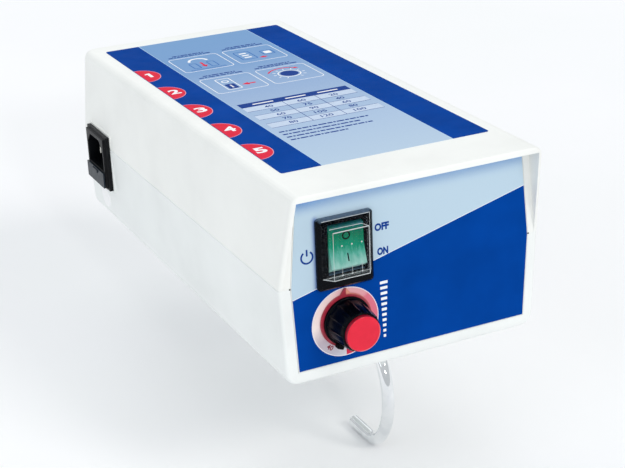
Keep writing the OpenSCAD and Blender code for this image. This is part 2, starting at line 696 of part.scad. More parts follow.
// The socket's recess: a rectangle with two corners cut off at the top
module socket_form(l) rotate([90, 0, 90]) linear_extrude(l) polygon([
    [-socket_w / 2, -socket_h / 2], [socket_w / 2, -socket_h / 2], [socket_w / 2, socket_h / 2 - 5],
    [socket_w / 2 - 5, socket_h / 2], [5 - socket_w / 2, socket_h / 2], [-socket_w / 2, socket_h / 2 - 5]]);
socket_floor = flange_x - inlet_step + socket_l;
pin_l = 12.7;
pin_y = 7;
module inlet_pins() color("#c4c6c8") for (p = [[-pin_y, -2], [0, 2], [pin_y, -2]])
    translate([socket_floor - pin_l, inlet_y + p[0] - 1, socket_z + p[1] - 2]) cube([pin_l, 2, 4]);
module inlet_terminals() color("#c9a24a") for (y = [-pin_y, 0, pin_y])
    translate([pad_x + inlet_depth, inlet_y + y - 2.4, socket_z - 0.4]) cube([tag_l, 4.8, 0.8]);

module fuse_drawer() color("#232427") difference() {
    union() {
        translate([flange_x - inlet_step - 0.6, inlet_y - drawer_w / 2, drawer_z - drawer_h / 2])
            cube([drawer_l + 2, drawer_w, drawer_h]);
        translate([flange_x - inlet_step - touch - tray_face[0], inlet_y - tray_face[1] / 2,
            drawer_z - tray_face[2] / 2]) cube(tray_face);
        translate([flange_x - inlet_step - 1.6, inlet_y - 4, drawer_z + drawer_h / 2 - 1.6])
            cube([1.5, 8, 1.6]);
    }
    for (y = [-fuse_y, fuse_y]) translate([flange_x + 0.6, inlet_y + y - 3, drawer_z - drawer_h / 2 + 0.8])
        cube([20.4, 6, drawer_h]);
}
module fuses() color("#d8dde0") for (y = [-fuse_y, fuse_y])
    translate([flange_x + 0.8, inlet_y + y, drawer_z - drawer_h / 2 + 0.8 + 3 - 0.4])
        rotate([0, 90, 0]) cylinder(h = 20, r = 2.5);

// A hose nozzle along +Z: threaded shank behind the panel, flange, stem and two barbs
module nozzle() rotate_extrude() polygon([
    [1.8, -panel_back - 9], [thread_r, -panel_back - 9], [thread_r, 0], [7.5, 0], [7.5, 2], [nozzle_r, 2],
    [nozzle_r, nozzle_l - 8], [nozzle_r + 0.9, nozzle_l - 8], [nozzle_r + 0.1, nozzle_l - 4.5],
    [nozzle_r + 0.8, nozzle_l - 4.5], [nozzle_r - 0.5, nozzle_l], [1.8, nozzle_l]]);
module outlet_nozzles() color("#e9ebec") for (x = nozzle_places)
    translate([x, rear_y, nozzle_z]) rotate([-90, 0, 0]) nozzle();
module nozzle_nuts() color("#b9bcc0") for (x = nozzle_places)
    translate([x, rear_y - panel_back, nozzle_z]) rotate([90, 0, 0]) difference() {
        cylinder(h = 4, r = 8, $fn = 6);
        translate([0, 0, -through]) cylinder(h = 4 + 2 * through, r = thread_r + press);
    }

// Pump: frame plate with two walls that carry the heads, pivot pins and core rests
pump_z = plate_top + 22;
arm_y0 = pump_y0 + 8;
arm_x = 12;
head_y = arm_y0 + 18;
wall_x = 24;
wall_t = 2.5;
pivot_r = 2;
core_y = arm_y0 + 42;
core_t = 20;
core_l = 32;
leg_w = 7;
magnet_t = 4;
module pump_frame() color("#b8bcc0") difference() {
    union() {
        translate([-pump_w / 2, pump_y0, plate_z]) cube([pump_w, pump_l, plate_t]);
        for (s = [-1, 1]) {
            translate([s * (wall_x + wall_t / 2) - wall_t / 2, head_y - pump_head_r - 1, plate_z])
                cube([wall_t, 2 * pump_head_r + 2, pump_z - plate_z + pump_head_r + 1]);
            translate([s * arm_x, arm_y0, plate_z]) cylinder(h = pump_z - plate_z + 12, r = pivot_r);
            translate([s * (core_w - leg_w) / 2 - leg_w / 2, core_y, plate_z])
                cube([leg_w, core_l, pump_z - core_t / 2 - plate_z]);
        }
    }
    for (s = [-1, 1]) translate([s * (wall_x + wall_t / 2), head_y, pump_z]) rotate([0, 90, 0])
        cylinder(h = wall_t + 2 * through, r = 9, center = true);
    at(mount_places, plate_z - through) cylinder(h = plate_t + 2 * through, r = 3 + fit);
}
module pump_mounts() color("#303032") at(mount_places, floor_z) {
    cylinder(h = mount_h, r = 5);
    cylinder(h = mount_h + plate_t, r = 3);
    translate([0, 0, mount_h + plate_t]) cylinder(h = 1.5, r = 4.5);
}

// E-shaped core with its poles towards the arms' magnets, and the coil on its middle leg
coil_gap = (core_w - 4 * leg_w) / 2;
coil_mid = leg_w + coil_gap / 2;
coil_l = core_l - 13;
module iron_core() color("#6d6f73") translate([0, core_y, pump_z]) difference() {
    translate([-core_w / 2, 0, -core_t / 2]) cube([core_w, core_l, core_t]);
    for (s = [-1, 1]) translate([s * coil_mid - coil_gap / 2, -through, -core_t / 2 - through])
        cube([coil_gap, core_l - 10 + through, core_t + 2 * through]);
}
module around_leg(grow, h) translate([0, core_y + 1.5 + coil_l / 2, pump_z]) rotate([90, 0, 0])
    linear_extrude(h, center = true)
        polygon(round_outline(2 * (leg_w + grow), core_t + 2 * grow, max(grow, 0.3)));
module coil_bobbin() color("#e8e2d0") difference() {
    union() {
        around_leg(1.2, coil_l);
        for (s = [-1, 1]) translate([0, s * (coil_l / 2 - 0.5), 0]) around_leg(coil_gap - fit, 1);
    }
    around_leg(fit, coil_l + 2);
}
module coil_winding() color("#b06a2c") difference() {
    around_leg(coil_gap - 0.6, coil_l - 2.4);
    around_leg(1.2 + fit, coil_l);
}

// A swing arm: hub on its pin, a blade back to the magnet and a stud out to the diaphragm
arm_t = 3;
stud_l = 8.4;
magnet_w = 8;
module swing_arm(s) color("#8d9196") difference() {
    union() {
        translate([s * arm_x, arm_y0, pump_z - 8]) cylinder(h = 16, r = 5);
        translate([s * arm_x - arm_t / 2, arm_y0, pump_z - 7])
            cube([arm_t, core_y - arm_y0 - magnet_t - 2, 14]);
        translate([s * arm_x, head_y, pump_z]) rotate([0, s * 90, 0]) cylinder(h = stud_l, r = 4);
        translate([s * arm_x - magnet_w / 2, core_y - magnet_t - 4, pump_z - 9]) cube([magnet_w, 2, 18]);
    }
    translate([s * arm_x, arm_y0, pump_z - 9]) cylinder(h = 18, r = pivot_r + run);
}
module swing_arm_left() swing_arm(-1);
module swing_arm_right() swing_arm(1);
module arm_magnet(s) color("#4a4c50")
    translate([s * arm_x - magnet_w / 2, core_y - magnet_t - 2, pump_z - 9]) cube([magnet_w, magnet_t, 18]);
module arm_magnet_left() arm_magnet(-1);
module arm_magnet_right() arm_magnet(1);

// Along +Z from the arm: rubber diaphragm, pump head and its cover with a port
module both_heads() for (s = [-1, 1])
    translate([s * wall_x, head_y, pump_z]) rotate([0, s * 90, 0]) children();
diaphragm_t = 2;
stud_gap = arm_x + stud_l + touch + 0.1 - wall_x;   // the diaphragm's face, clear of the swinging stud
module diaphragms() color("#26262a") both_heads() rotate_extrude() polygon([
    [0, stud_gap], [6, stud_gap], [7, wall_t],
    [pump_head_r - 0.5, wall_t], [pump_head_r - 0.5, wall_t + diaphragm_t], [0, wall_t + diaphragm_t]]);
head_l = 10;
module pump_heads() color("#d9dcdd") both_heads() translate([0, 0, wall_t + diaphragm_t]) difference() {
    cylinder(h = head_l, r = pump_head_r);
    translate([0, 0, -through]) cylinder(h = 6 + through, r = pump_head_r - 3);
    for (y = [-5, 5]) translate([0, y, 0]) cylinder(h = head_l + through, r = 1.6);
}
cover_l = 4.5;
port_r = 1.9;
port_l = 8;
head_port = [wall_x + wall_t + diaphragm_t + head_l + cover_l / 2, head_y - pump_head_r - port_l, pump_z];
module head_covers() color("#c6cacc") {
    both_heads() translate([0, 0, wall_t + diaphragm_t + head_l])
        cylinder(h = cover_l, r = pump_head_r - 0.5);
    for (s = [-1, 1]) translate([s * head_port[0], head_port[1], head_port[2]]) rotate([-90, 0, 0])
        cylinder(h = port_l + 3, r = port_r);
}

// Valve motor on its two posts, with the distributor on top
module valve_motor() color("#c3c6c9") translate([motor_x, motor_y, motor_z]) difference() {
    union() {
        translate([0, 0, 0.8]) cylinder(h = motor_t - 0.8, r = motor_r);
        translate([0, 0, 0.4]) cube([2 * motor_ear, 9, 0.8], center = true);
        for (s = [-1, 1]) translate([s * motor_ear, 0, 0]) cylinder(h = 0.8, r = 4.5);
    }
    for (s = [-1, 1]) translate([s * motor_ear, 0, -through]) cylinder(h = 3 + through, r = shank_r + 0.2);
    translate([0, 0, motor_t - 8]) cylinder(h = 8 + through, r = spindle_r + run);
}
module motor_screws() color("#9a9ea2") at(motor_posts, motor_z + 0.8) rotate([180, 0, 0]) pan_screw(8);

disc_r = 17;
disc_t = 5;
body_z = motor_z + motor_t;
module distributor_body() color("#e3e5e6") translate([motor_x, motor_y, body_z]) difference() {
    union() {
        cylinder(h = 14, r = disc_r + 3);
        for (p = distributor_ports) translate([p[0], p[1], 13]) cylinder(h = 1 + port_l, r = port_r);
        translate([0, 0, feed_z]) rotate([0, -90, 0]) cylinder(h = disc_r + 3 + port_l, r = port_r);
    }
    translate([0, 0, 2]) cylinder(h = disc_t + 2 * touch, r = disc_r + touch);
    translate([0, 0, -through]) cylinder(h = 4, r = spindle_r + run);
    for (p = distributor_ports) translate([p[0], p[1], 6]) cylinder(h = 20, r = 1);
    translate([0, 0, feed_z]) rotate([0, -90, 0]) cylinder(h = disc_r + 4 + port_l, r = 1);
}
distributor_ports = [[-10, 6], [10, 6]];
feed_z = 2 + disc_t + 2 * touch + port_r + 0.6;
module distributor_rotor() color("#8fb0c8") translate([motor_x, motor_y, body_z]) {
    translate([0, 0, 2 + touch]) difference() {
        cylinder(h = disc_t, r = disc_r);
        translate([0, 11, disc_t - 2]) cylinder(h = 3, r = 3.5);
    }
    translate([0, 0, -7.5]) cylinder(h = 10, r = spindle_r);
}

// A round tube along a cubic curve, its ends square to what they meet
function curve(p, t) = pow(1 - t, 3) * p[0] + 3 * t * pow(1 - t, 2) * p[1]
    + 3 * t * t * (1 - t) * p[2] + pow(t, 3) * p[3];
function slope(p, t) = pow(1 - t, 2) * (p[1] - p[0]) + 2 * t * (1 - t) * (p[2] - p[1])
    + t * t * (p[3] - p[2]);
function unit(v) = v / norm(v);
module tube(p, r, side, sides, steps) loft([for (k = [0:steps])
    let (c = curve(p, k / steps), d = unit(slope(p, k / steps)), u = unit(cross(side, d)), v = cross(d, u))
    [for (i = [0:sides - 1]) let (a = 360 * i / sides) c + r * (cos(a) * u + sin(a) * v)]]);

// A four-way joint for the air from both heads
cross_at = [0, pump_y0 - 22, pump_z];
arm_l = 9;
module air_cross() color("#dfe2e3") translate(cross_at) {
    for (turn = [[0, 90, 0], [0, -90, 0], [90, 0, 0], [180, 0, 0]]) rotate(turn)
        cylinder(h = arm_l, r = port_r);
    cube([8, 8, 8], center = true);
}
up = [0, 0, 1];
lead = 20;                          // how far a hose runs on from a port before it bends
valve_port = [knob_x, front_y + panel_back + valve_l + port_l, knob_cz];
feed_port = [motor_x - disc_r - 3 - port_l, motor_y, body_z + feed_z];
module supply_hoses() color("#d8e4ea") {
    for (s = [-1, 1]) {
        a = [s * head_port[0], head_port[1], head_port[2]];
        b = cross_at + [s * arm_l, 0, 0];
        tube([a, a - [0, lead, 0], b + [s * lead, 0, 0], b], hose_r, up, 8, 10);
    }
    front = cross_at - [0, arm_l, 0];
    tube([front, front - [0, lead, 0], feed_port - [lead, 0, 0], feed_port], hose_r, up, 8, 10);
    below = cross_at - arm_l * up;
    tube([below, below - 0.7 * lead * up, valve_port + [0, 2 * lead, 0], valve_port],
        hose_r, [1, 0, 0], 8, 12);
}
module outlet_hoses() color("#d8e4ea") for (i = [0, 1]) {
    a = [motor_x + distributor_ports[i][0], motor_y + distributor_ports[i][1], body_z + 14 + port_l];
    b = [nozzle_places[i], rear_y - panel_back - 9, nozzle_z];
    tube([a, a + 62 * up, b - [0, 70, 0], b], hose_r - 0.2, [1, 0, 0.02], 8, 20);
}
wire_r = 1.2;
module mains_wires() color("#7a4a2a") for (i = [0, 1]) {
    a = [pad_x + inlet_depth + tag_l, inlet_y + pin_y * (2 * i - 1), socket_z];
    b = [switch_x + 6 * (2 * i - 1), housing_back + tag_l, switch_cz];
    tube([a, a + [16 + 6 * i, 0, 0], b + [0, 120, 0], b], wire_r, up, 6, 14);
}

module intake_filter() color("#9fa3a0")
    translate([-slot_l / 2 - 3, slot_y - slot_count * slot_pitch / 2, floor_z])
        cube([slot_l + 6, slot_count * slot_pitch, 4]);

lower_shell();
upper_shell();
front_panel();
rear_panel();
front_label();
top_label();
side_sticker();
case_screws();
rubber_feet();
foot_screws();
hook_rod();
hook_collars();
hook_bearings();
bearing_screws();
switch_body();
switch_rocker();
rocker_lamp();
switch_cover();
switch_terminals();
dial_plate();
pointer_disc();
pressure_knob();
knob_cap();
valve_spindle();
pressure_valve();
valve_nut();
inlet_body();
inlet_pins();
inlet_terminals();
fuse_drawer();
fuses();
outlet_nozzles();
nozzle_nuts();
pump_frame();
pump_mounts();
iron_core();
coil_bobbin();
coil_winding();
swing_arm_left();
arm_magnet_left();
swing_arm_right();
arm_magnet_right();
diaphragms();
pump_heads();
head_covers();
valve_motor();
motor_screws();
distributor_body();
distributor_rotor();
air_cross();
supply_hoses();
outlet_hoses();
mains_wires();
intake_filter();
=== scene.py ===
"""Dresses the air pump's solids: moulded shells, printed labels, covered switch, ridged knob, chromed hook."""

import json
import math
from functools import partialmethod

import bmesh
import bpy
from bpy.props import FloatProperty, FloatVectorProperty, IntProperty, PointerProperty
from mathutils import Matrix, Vector
from mathutils.geometry import tessellate_polygon


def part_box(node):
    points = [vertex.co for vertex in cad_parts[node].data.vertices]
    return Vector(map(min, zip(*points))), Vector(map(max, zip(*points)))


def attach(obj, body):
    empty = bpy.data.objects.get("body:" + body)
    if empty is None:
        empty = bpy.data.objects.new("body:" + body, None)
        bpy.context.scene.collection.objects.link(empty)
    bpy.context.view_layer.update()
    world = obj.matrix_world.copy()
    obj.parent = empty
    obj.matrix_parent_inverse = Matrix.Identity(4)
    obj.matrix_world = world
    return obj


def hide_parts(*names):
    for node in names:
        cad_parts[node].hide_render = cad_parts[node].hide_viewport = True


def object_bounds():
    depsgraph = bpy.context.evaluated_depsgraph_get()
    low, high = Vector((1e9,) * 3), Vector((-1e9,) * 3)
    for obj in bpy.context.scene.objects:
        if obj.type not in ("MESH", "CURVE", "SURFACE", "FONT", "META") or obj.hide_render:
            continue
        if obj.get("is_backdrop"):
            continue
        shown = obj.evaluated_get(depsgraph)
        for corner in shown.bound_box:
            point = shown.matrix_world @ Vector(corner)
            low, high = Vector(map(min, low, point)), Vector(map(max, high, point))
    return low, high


bl_info = {
    "name": "Air Pump Dresser",
    "version": (1, 0, 0),
    "blender": (4, 5, 0),
    "location": "3D View > Sidebar > Air Pump",
    "description": "Builds the finishes and fine parts of a bedside air pump round its solids",
    "category": "Object",
}

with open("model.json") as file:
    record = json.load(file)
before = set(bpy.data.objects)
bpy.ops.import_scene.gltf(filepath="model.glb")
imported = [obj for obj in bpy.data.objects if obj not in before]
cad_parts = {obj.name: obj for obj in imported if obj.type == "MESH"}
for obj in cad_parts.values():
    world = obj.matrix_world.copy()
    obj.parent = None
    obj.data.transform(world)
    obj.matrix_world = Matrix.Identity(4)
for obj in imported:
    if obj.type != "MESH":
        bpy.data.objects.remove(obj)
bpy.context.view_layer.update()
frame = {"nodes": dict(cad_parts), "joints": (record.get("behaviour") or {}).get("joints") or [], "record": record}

MM = 0.001
IN_MM = Matrix.Scale(MM, 4)
TAU = 2 * math.pi
BODY_OF = {n: b for b, members in frame["record"]["behaviour"]["bodies"].items() for n in members}
SLOT_OF = {s["node"]: s["material_slot"] for s in frame["record"]["subparts"]}
JOINTS = {j["name"]: j for j in frame["joints"]}
KNOB_AXIS = Vector(JOINTS["pressure_turn"]["pos_m"])


def linear(colour):
    """The linear colour of a #rrggbb text, or of a colour that is linear already."""
    if isinstance(colour, str):
        parts = [int(colour[i:i + 2], 16) / 255 for i in (1, 3, 5)]
        colour = [p / 12.92 if p <= 0.04045 else ((p + 0.055) / 1.055) ** 2.4 for p in parts]
    return (*colour[:3], 1.0)


def scaled(colour, by):
    """The colour made lighter or darker by a factor."""
    return (*(c * by for c in linear(colour)[:3]), 1.0)


def half_width(node):
    lo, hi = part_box(node)
    return (hi.x - lo.x) / 2


# ---- node trees

def feed(tree, socket, value):
    """Links a wire to a socket, or sets the socket to a plain value or a #rrggbb colour."""
    if isinstance(value, Wire):
        tree.links.new(value.socket, socket)
    else:
        socket.default_value = linear(value) if isinstance(value, str) else value


class Wire:
    """A node's output that sums can be written with: each one adds a maths node."""

    def __init__(self, tree, socket):
        self.tree, self.socket = tree, socket

    def math(self, operation, *others, clamp=False):
        made = self.tree.nodes.new("ShaderNodeMath")
        made.operation, made.use_clamp = operation, clamp
        for socket, value in zip(made.inputs, (self, *others)):
            feed(self.tree, socket, value)
        return Wire(self.tree, made.outputs[0])

    __add__ = partialmethod(math, "ADD")
    __sub__ = partialmethod(math, "SUBTRACT")
    __mul__ = partialmethod(math, "MULTIPLY")
    __truediv__ = partialmethod(math, "DIVIDE")
    __pow__ = partialmethod(math, "POWER")
    __gt__ = partialmethod(math, "GREATER_THAN")
    __lt__ = partialmethod(math, "LESS_THAN")
    __abs__ = partialmethod(math, "ABSOLUTE")


class Nodes:
    """A node tree that is written one call at a time."""

    def node(self, kind, feeds, output=0, **settings):
        """A wire from one output of a new node."""
        made = self.tree.nodes.new(kind)
        for key, value in settings.items():
            setattr(made, key, value)
        for name, value in feeds.items():
            feed(self.tree, made.inputs[name], value)
        return Wire(self.tree, made.outputs[output])

    def split(self, vector):
        made = self.node("ShaderNodeSeparateXYZ", {0: vector})
        return [Wire(self.tree, output) for output in made.socket.node.outputs]

    def span(self, value, low, high, to_low=0.0, to_high=1.0, smooth=False):
        return self.node("ShaderNodeMapRange", {"Value": value, "From Min": low, "From Max": high,
                                                "To Min": to_low, "To Max": to_high},
                         interpolation_type="SMOOTHSTEP" if smooth else "LINEAR")

    def around(self, axis, place=None):
        """How far a place is across and above an axis along Y, and its distance from it."""
        x, _, z = self.split(place or self.place)
        dx, dz = x - axis.x, z - axis.z
        return dx, dz, (dx * dx + dz * dz).math("SQRT")


# ---- finishes

class Finish(Nodes):
    """A material round one Principled surface."""

    def __init__(self, name, **surface):
        self.material = bpy.data.materials.new(name)
        self.material.use_nodes = True
        self.tree = self.material.node_tree
        self.tree.nodes.clear()
        self.surface = self.tree.nodes.new("ShaderNodeBsdfPrincipled")
        out = self.tree.nodes.new("ShaderNodeOutputMaterial")
        self.tree.links.new(self.surface.outputs[0], out.inputs[0])
        coordinates = self.tree.nodes.new("ShaderNodeTexCoord").outputs
        self.place, self.normal = (Wire(self.tree, coordinates[name]) for name in ("Object", "Normal"))
        for socket, value in surface.items():
            self.put(socket.replace("_", " "), value)

    def put(self, name, value):
        feed(self.tree, self.surface.inputs[name], value)

    def paint(self, colour):
        self.put("Base Color", colour)

    def noise(self, size_mm, detail=3.0, stretch=(1, 1, 1)):
        """Noise whose features are about size_mm across, from 0 to 1."""
        place = self.node("ShaderNodeMapping", {"Vector": self.place, "Scale": stretch})
        return self.node("ShaderNodeTexNoise", {"Vector": place, "Scale": 1 / (size_mm * MM), "Detail": detail,
                                                "Roughness": 0.55})

    def ramp(self, factor, stops):
        """Colours that follow one another, from a table of places and colours."""
        made = self.node("ShaderNodeValToRGB", {0: factor})
        elements, places = made.socket.node.color_ramp.elements, list(stops)
        elements[0].position, elements[1].position = places[0], places[-1]
        for place in places[1:-1]:
            elements.new(place)
        for element, place in zip(elements, places):
            element.color = linear(stops[place])
        return made

    def mix(self, factor, a, b):
        return self.node("ShaderNodeMix", {"Factor": factor, "A": a, "B": b}, "Result", data_type="RGBA")

    def bump(self, height, depth_mm, strength=1.0):
        self.put("Normal", self.node("ShaderNodeBump", {"Strength": strength, "Distance": depth_mm * MM,
                                                        "Height": height}))

    def wander(self, low, high, noise):
        """Roughness that wanders between two values."""
        self.put("Roughness", self.span(noise, 0.3, 0.7, low, high))

    def cloud(self, colour, lighter, darker, size_mm):
        """The colour, clouded a little towards a lighter and a darker one."""
        self.paint(self.ramp(self.noise(size_mm, 4.0), {
            0.3: scaled(colour, darker), 0.5: colour, 0.7: scaled(colour, lighter)}))


def moulded(name, colour, roughness=0.42, grain_mm=0.28, depth_mm=0.012, spread=0.03):
    """Injection-moulded plastic with a fine spark-eroded grain and slight handling marks."""
    f = Finish(name)
    f.cloud(colour, 1 + spread, 1 - 1.6 * spread, 45)
    f.wander(roughness - 0.05, roughness + 0.07, f.noise(14, 5.0))
    f.bump(f.noise(grain_mm, 2.0), depth_mm)
    return f


def satin_metal(name, colour, roughness):
    """Bare or plated metal with fine streaks."""
    f = Finish(name, Metallic=1.0)
    f.cloud(colour, 1.06, 0.88, 9)
    brushed = f.noise(0.5)
    f.wander(roughness * 0.8, roughness * 1.25, brushed)
    f.bump(brushed, 0.003, 0.6)
    return f


def soft_rubber(name, colour, roughness=0.75):
    """Dull rubber or soft plastic."""
    f = Finish(name)
    f.cloud(colour, 1.3, 0.75, 6)
    f.wander(roughness - 0.08, roughness + 0.1, f.noise(3, 4.0))
    f.bump(f.noise(0.35), 0.03)
    return f


def ink(name, colour):
    """Solid ink under a satin film, with the faint mottle of a screen print."""
    f = Finish(name, Specular_IOR_Level=0.02)
    f.cloud(colour, 1.05, 0.95, 3)
    f.wander(0.46, 0.56, f.noise(9))
    f.bump(f.noise(0.5, 2.0), 0.004)
    return f


def glossy(name, colour, roughness, specular, spread=0.06):
    """Glossy moulded plastic with a trace of handling."""
    f = Finish(name, Specular_IOR_Level=specular)
    f.cloud(colour, 1 + spread, 1 - spread, 7)
    f.wander(roughness * 0.85, roughness * 1.2, f.noise(2.5, 4.0))
    f.bump(f.noise(1.6, 2.0), 0.003)
    return f


def see_through_film(name, colour, face_alpha, edge_alpha, roughness=0.06):
    """Thin clear plastic: nearly unseen where it faces the eye, white and glossy where it turns away; the white is a
    painted reflection, the gloss is real.
    """
    f = Finish(name, IOR=1.46, Base_Color=colour)
    turn = f.node("ShaderNodeLayerWeight", {"Blend": 0.4}, "Facing")
    # Painted reflection: the white colour grows solid as the surface turns away from the eye.
    f.put("Alpha", f.span(turn ** 3.5, 0.0, 1.0, face_alpha, edge_alpha))
    f.wander(roughness * 0.6, roughness * 1.6, f.noise(4))
    f.bump(f.noise(6, 2.0), 0.02, 0.5)
    return f


def layered(name, axis, pitch_mm, dark, light, depth_mm, metallic, marks, low, high):
    """Metal in fine layers that follow one another along an axis: wound wire or stacked sheets."""
    f = Finish(name, Metallic=metallic)
    layers = (f.split(f.place)[axis] * (TAU / (pitch_mm * MM))).math("SINE")
    f.paint(f.mix(f.span(layers, -1, 1), dark, light))
    f.wander(low, high, f.noise(*marks))
    f.bump(layers, depth_mm)
    return f


def deep_ink(f, look):
    return f.ramp(f.noise(30), {0.35: scaled(look.deep_blue, 0.92), 0.65: scaled(look.deep_blue, 1.1)})


def front_print(look):
    """Front label: pale blue over deep blue, parted by a fine white line that climbs to the right, with painted
    shade of the hood along its top and a painted shadow beside the switch.
    """
    f = Finish("front_label_print", Specular_IOR_Level=look.gloss)
    lo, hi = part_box("front_label")
    x, _, z = f.split(f.place)
    climb = (look.split_right - look.split_left) / (hi.x - lo.x)
    over = z - x.math("MULTIPLY_ADD", climb, look.split_left - climb * lo.x)
    # Painted shade: the hood's shadow, a blue that darkens the label's top and is stronger towards the left.
    painted_hood_shade = f.span(z, look.haze_top - look.haze_depth, look.haze_top) ** 1.8
    painted_hood_shade = painted_hood_shade.math("MULTIPLY", f.span(x, lo.x + 8 * MM, lo.x + 24 * MM, 1.5, 1.0), clamp=True)
    speck = f.noise(0.5, 2.0)
    pale = f.mix(painted_hood_shade * f.span(speck, 0.2, 0.8, 0.75, 1.0), linear(look.pale_blue), linear(look.haze_blue))
    # Painted shadow: deep blue beside the left side of the switch's frame.
    pale = f.mix(halo(f, x, z, 3.4 * MM), pale, "#1E56B0")
    sides = f.mix(over > 0.0, deep_ink(f, look), pale)
    f.paint(f.mix(abs(over) < look.line_width / 2, sides, "#EEF3F8"))
    f.wander(0.44, 0.56, f.noise(9))
    f.bump(speck, 0.004)
    return f


def halo(f, x, z, reach):
    """Painted shadow of the switch's frame, gathered round its left side, from 1 beside it to 0 at the reach."""
    lo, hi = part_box("switch_body")
    across, up = ((abs(along - (low + high) / 2) - ((high - low) / 2 - MM)).math("MAXIMUM", 0.0)
                  for along, low, high in ((x, lo.x, hi.x), (z, lo.z, hi.z)))
    far = (across * across + up * up).math("SQRT")
    return f.span(far, reach, 0.5 * MM) ** 1.7 * f.span(x, lo.x + 2 * MM, lo.x)


def top_print(look):
    """Top label: deep blue with a pale band down its middle, greyer to the rear."""
    f = Finish("top_label_print", Specular_IOR_Level=look.gloss)
    lo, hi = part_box("top_label")
    x, y, _ = f.split(f.place)
    speck = f.noise(0.6, 2.0)
    pale = f.ramp(f.span(y, lo.y, hi.y) + f.span(speck, 0, 1, -0.06, 0.06), {
        0.0: "#BBD0E4", 0.22: "#B1C7E1", 0.38: "#A7BEDB", 0.5: "#9DB6D8", 0.6: "#95B1D5", 0.75: "#80A4D0",
        1.0: "#7FA5D0"})
    off = abs(x) - look.band_half
    inks = f.mix(off < 0.0, deep_ink(f, look), pale)
    f.paint(f.mix(abs(off) < look.line_width / 2, inks, "#B9DAF2"))
    f.wander(0.44, 0.56, f.noise(9))
    f.bump(speck, 0.004)
    return f


def dial_print():
    """Dial film: white rim, its colour deepening clockwise from grey white at the left to red at the right; the grey
    lavender at the lower left is painted shadow of the knob.
    """
    f = Finish("dial_print", Specular_IOR_Level=0.15)
    dx, dz, radius = f.around(sum(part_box("dial_plate"), Vector()) / 2)
    clock = ((dx * -1).math("ARCTAN2", dz * -1) / TAU + 1.0).math("FRACT")
    # Painted shadow: the grey lavender stops at 0.06 and 0.16, towards the lower left, stand for the knob's shadow.
    scale = f.ramp(clock + f.span(f.noise(1.1), 0, 1, -0.02, 0.02), {
        0.0: "#E2DFE6", 0.06: "#CDC8D3", 0.16: "#D0C2CC", 0.25: "#FAEBE8", 0.42: "#F6DCDA", 0.50: "#F0BCC1",
        0.612: "#EDA8B1", 0.628: "#E87E93", 0.785: "#E6748A", 0.80: "#DC4A64", 0.99: "#D92E50"})
    f.paint(f.mix(radius > half_width("dial_plate") - 0.35 * MM, scale, "#F7F2F6"))
    f.wander(0.32, 0.42, f.noise(6))
    f.bump(f.noise(0.5, 2.0), 0.004)
    return f


def rocker_plastic():
    """Translucent green with painted light and shade, pale at its lower end and darkening upward, with the faint
    upright streaks of its moulding.
    """
    f = Finish("rocker_green", Specular_IOR_Level=0.2, Subsurface_Weight=0.06,
               Subsurface_Radius=(0.002, 0.004, 0.003))
    lo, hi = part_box("switch_rocker")
    streak = f.span(f.noise(2.2, stretch=(1, 1, 0.08)), 0.3, 0.7, -0.10, 0.10)
    # Painted light and shade: pale where the lower half stands out into the light, dark green on the pressed upper
    # half in shade.
    f.paint(f.ramp(f.span(f.split(f.place)[2], lo.z, hi.z) + streak, {
        0.0: "#A6CDC4", 0.22: "#82BAAE", 0.38: "#52A492", 0.52: "#10886A", 0.75: "#03704F", 0.9: "#085E52",
        1.0: "#22606A"}))
    f.wander(0.14, 0.24, f.noise(3))
    f.bump(f.noise(1.5, 2.0, (1, 1, 0.15)), 0.01)
    return f


def open_foam():
    """Open-celled foam, with painted shade darkening its cells."""
    f = Finish("filter_foam", Roughness=0.95)
    cells = f.node("ShaderNodeTexVoronoi", {"Vector": f.place, "Scale": 1 / (0.9 * MM)}, "Distance")
    # Painted shade: each cell is darkest at its middle.
    f.paint(f.mix(f.span(cells, 0.0, 0.8), "#2E302E", "#7C807C"))
    f.bump(cells, 0.4)
    return f


def polished_chrome(look):
    """Bright plating with faint polishing marks along the rod and a touch of haze."""
    f = Finish("hook_chrome", Metallic=1.0)
    f.paint(f.ramp(f.noise(12, 4.0), {0.3: "#E0E3E5", 0.5: "#EEF0F1", 0.7: "#F6F7F7"}))
    marks = f.noise(0.8, stretch=(1, 0.2, 0.2))
    f.wander(look.polish * 0.6, look.polish * 1.5, marks)
    f.bump(marks, 0.002, 0.5)
    return f


def switch_frame_plastic():
    """Black plastic with a painted reflection of the sky, lighter where it faces up, mottled a little."""
    black = "#03060C"
    f = glossy("switch_black", black, 0.26, 0.08, 0.2)
    # Painted reflection: faces turned up are painted a light blue grey, as if they mirrored the sky.
    painted_sky_sheen = f.span(f.split(f.normal)[2], 0.3, 0.8) * f.span(f.noise(1.2), 0.2, 0.7, 0.6, 1.0)
    f.paint(f.mix(painted_sky_sheen, black, "#5E7288"))
    return f


def red_cap():
    """Bright red cap with a painted highlight on its rounded rim at the lower right and painted shade in dark red on
    its side.
    """
    f = glossy("cap_red", "#E01C38", 0.2, 0.2)
    half = half_width("knob_cap")
    dx, dz, radius = f.around(KNOB_AXIS)
    # Painted highlight: the rounded rim towards the lower right is painted pale pink.
    rim = (f.span(radius, half - 0.75 * MM, half - 0.45 * MM)
           * f.span(dx - dz, 0.35 * half, 1.2 * half, smooth=True))
    face_red = f.mix(rim, f.ramp(f.noise(7), {0.3: "#DE1A36", 0.7: "#EA213D"}), "#F58C8A")
    # Painted shade: the cap's side is painted dark red.
    f.paint(f.mix(radius > half - 0.2 * MM, face_red, "#8E1024"))
    f.put("Coat Weight", 0.2)
    f.put("Coat Roughness", 0.05)
    return f


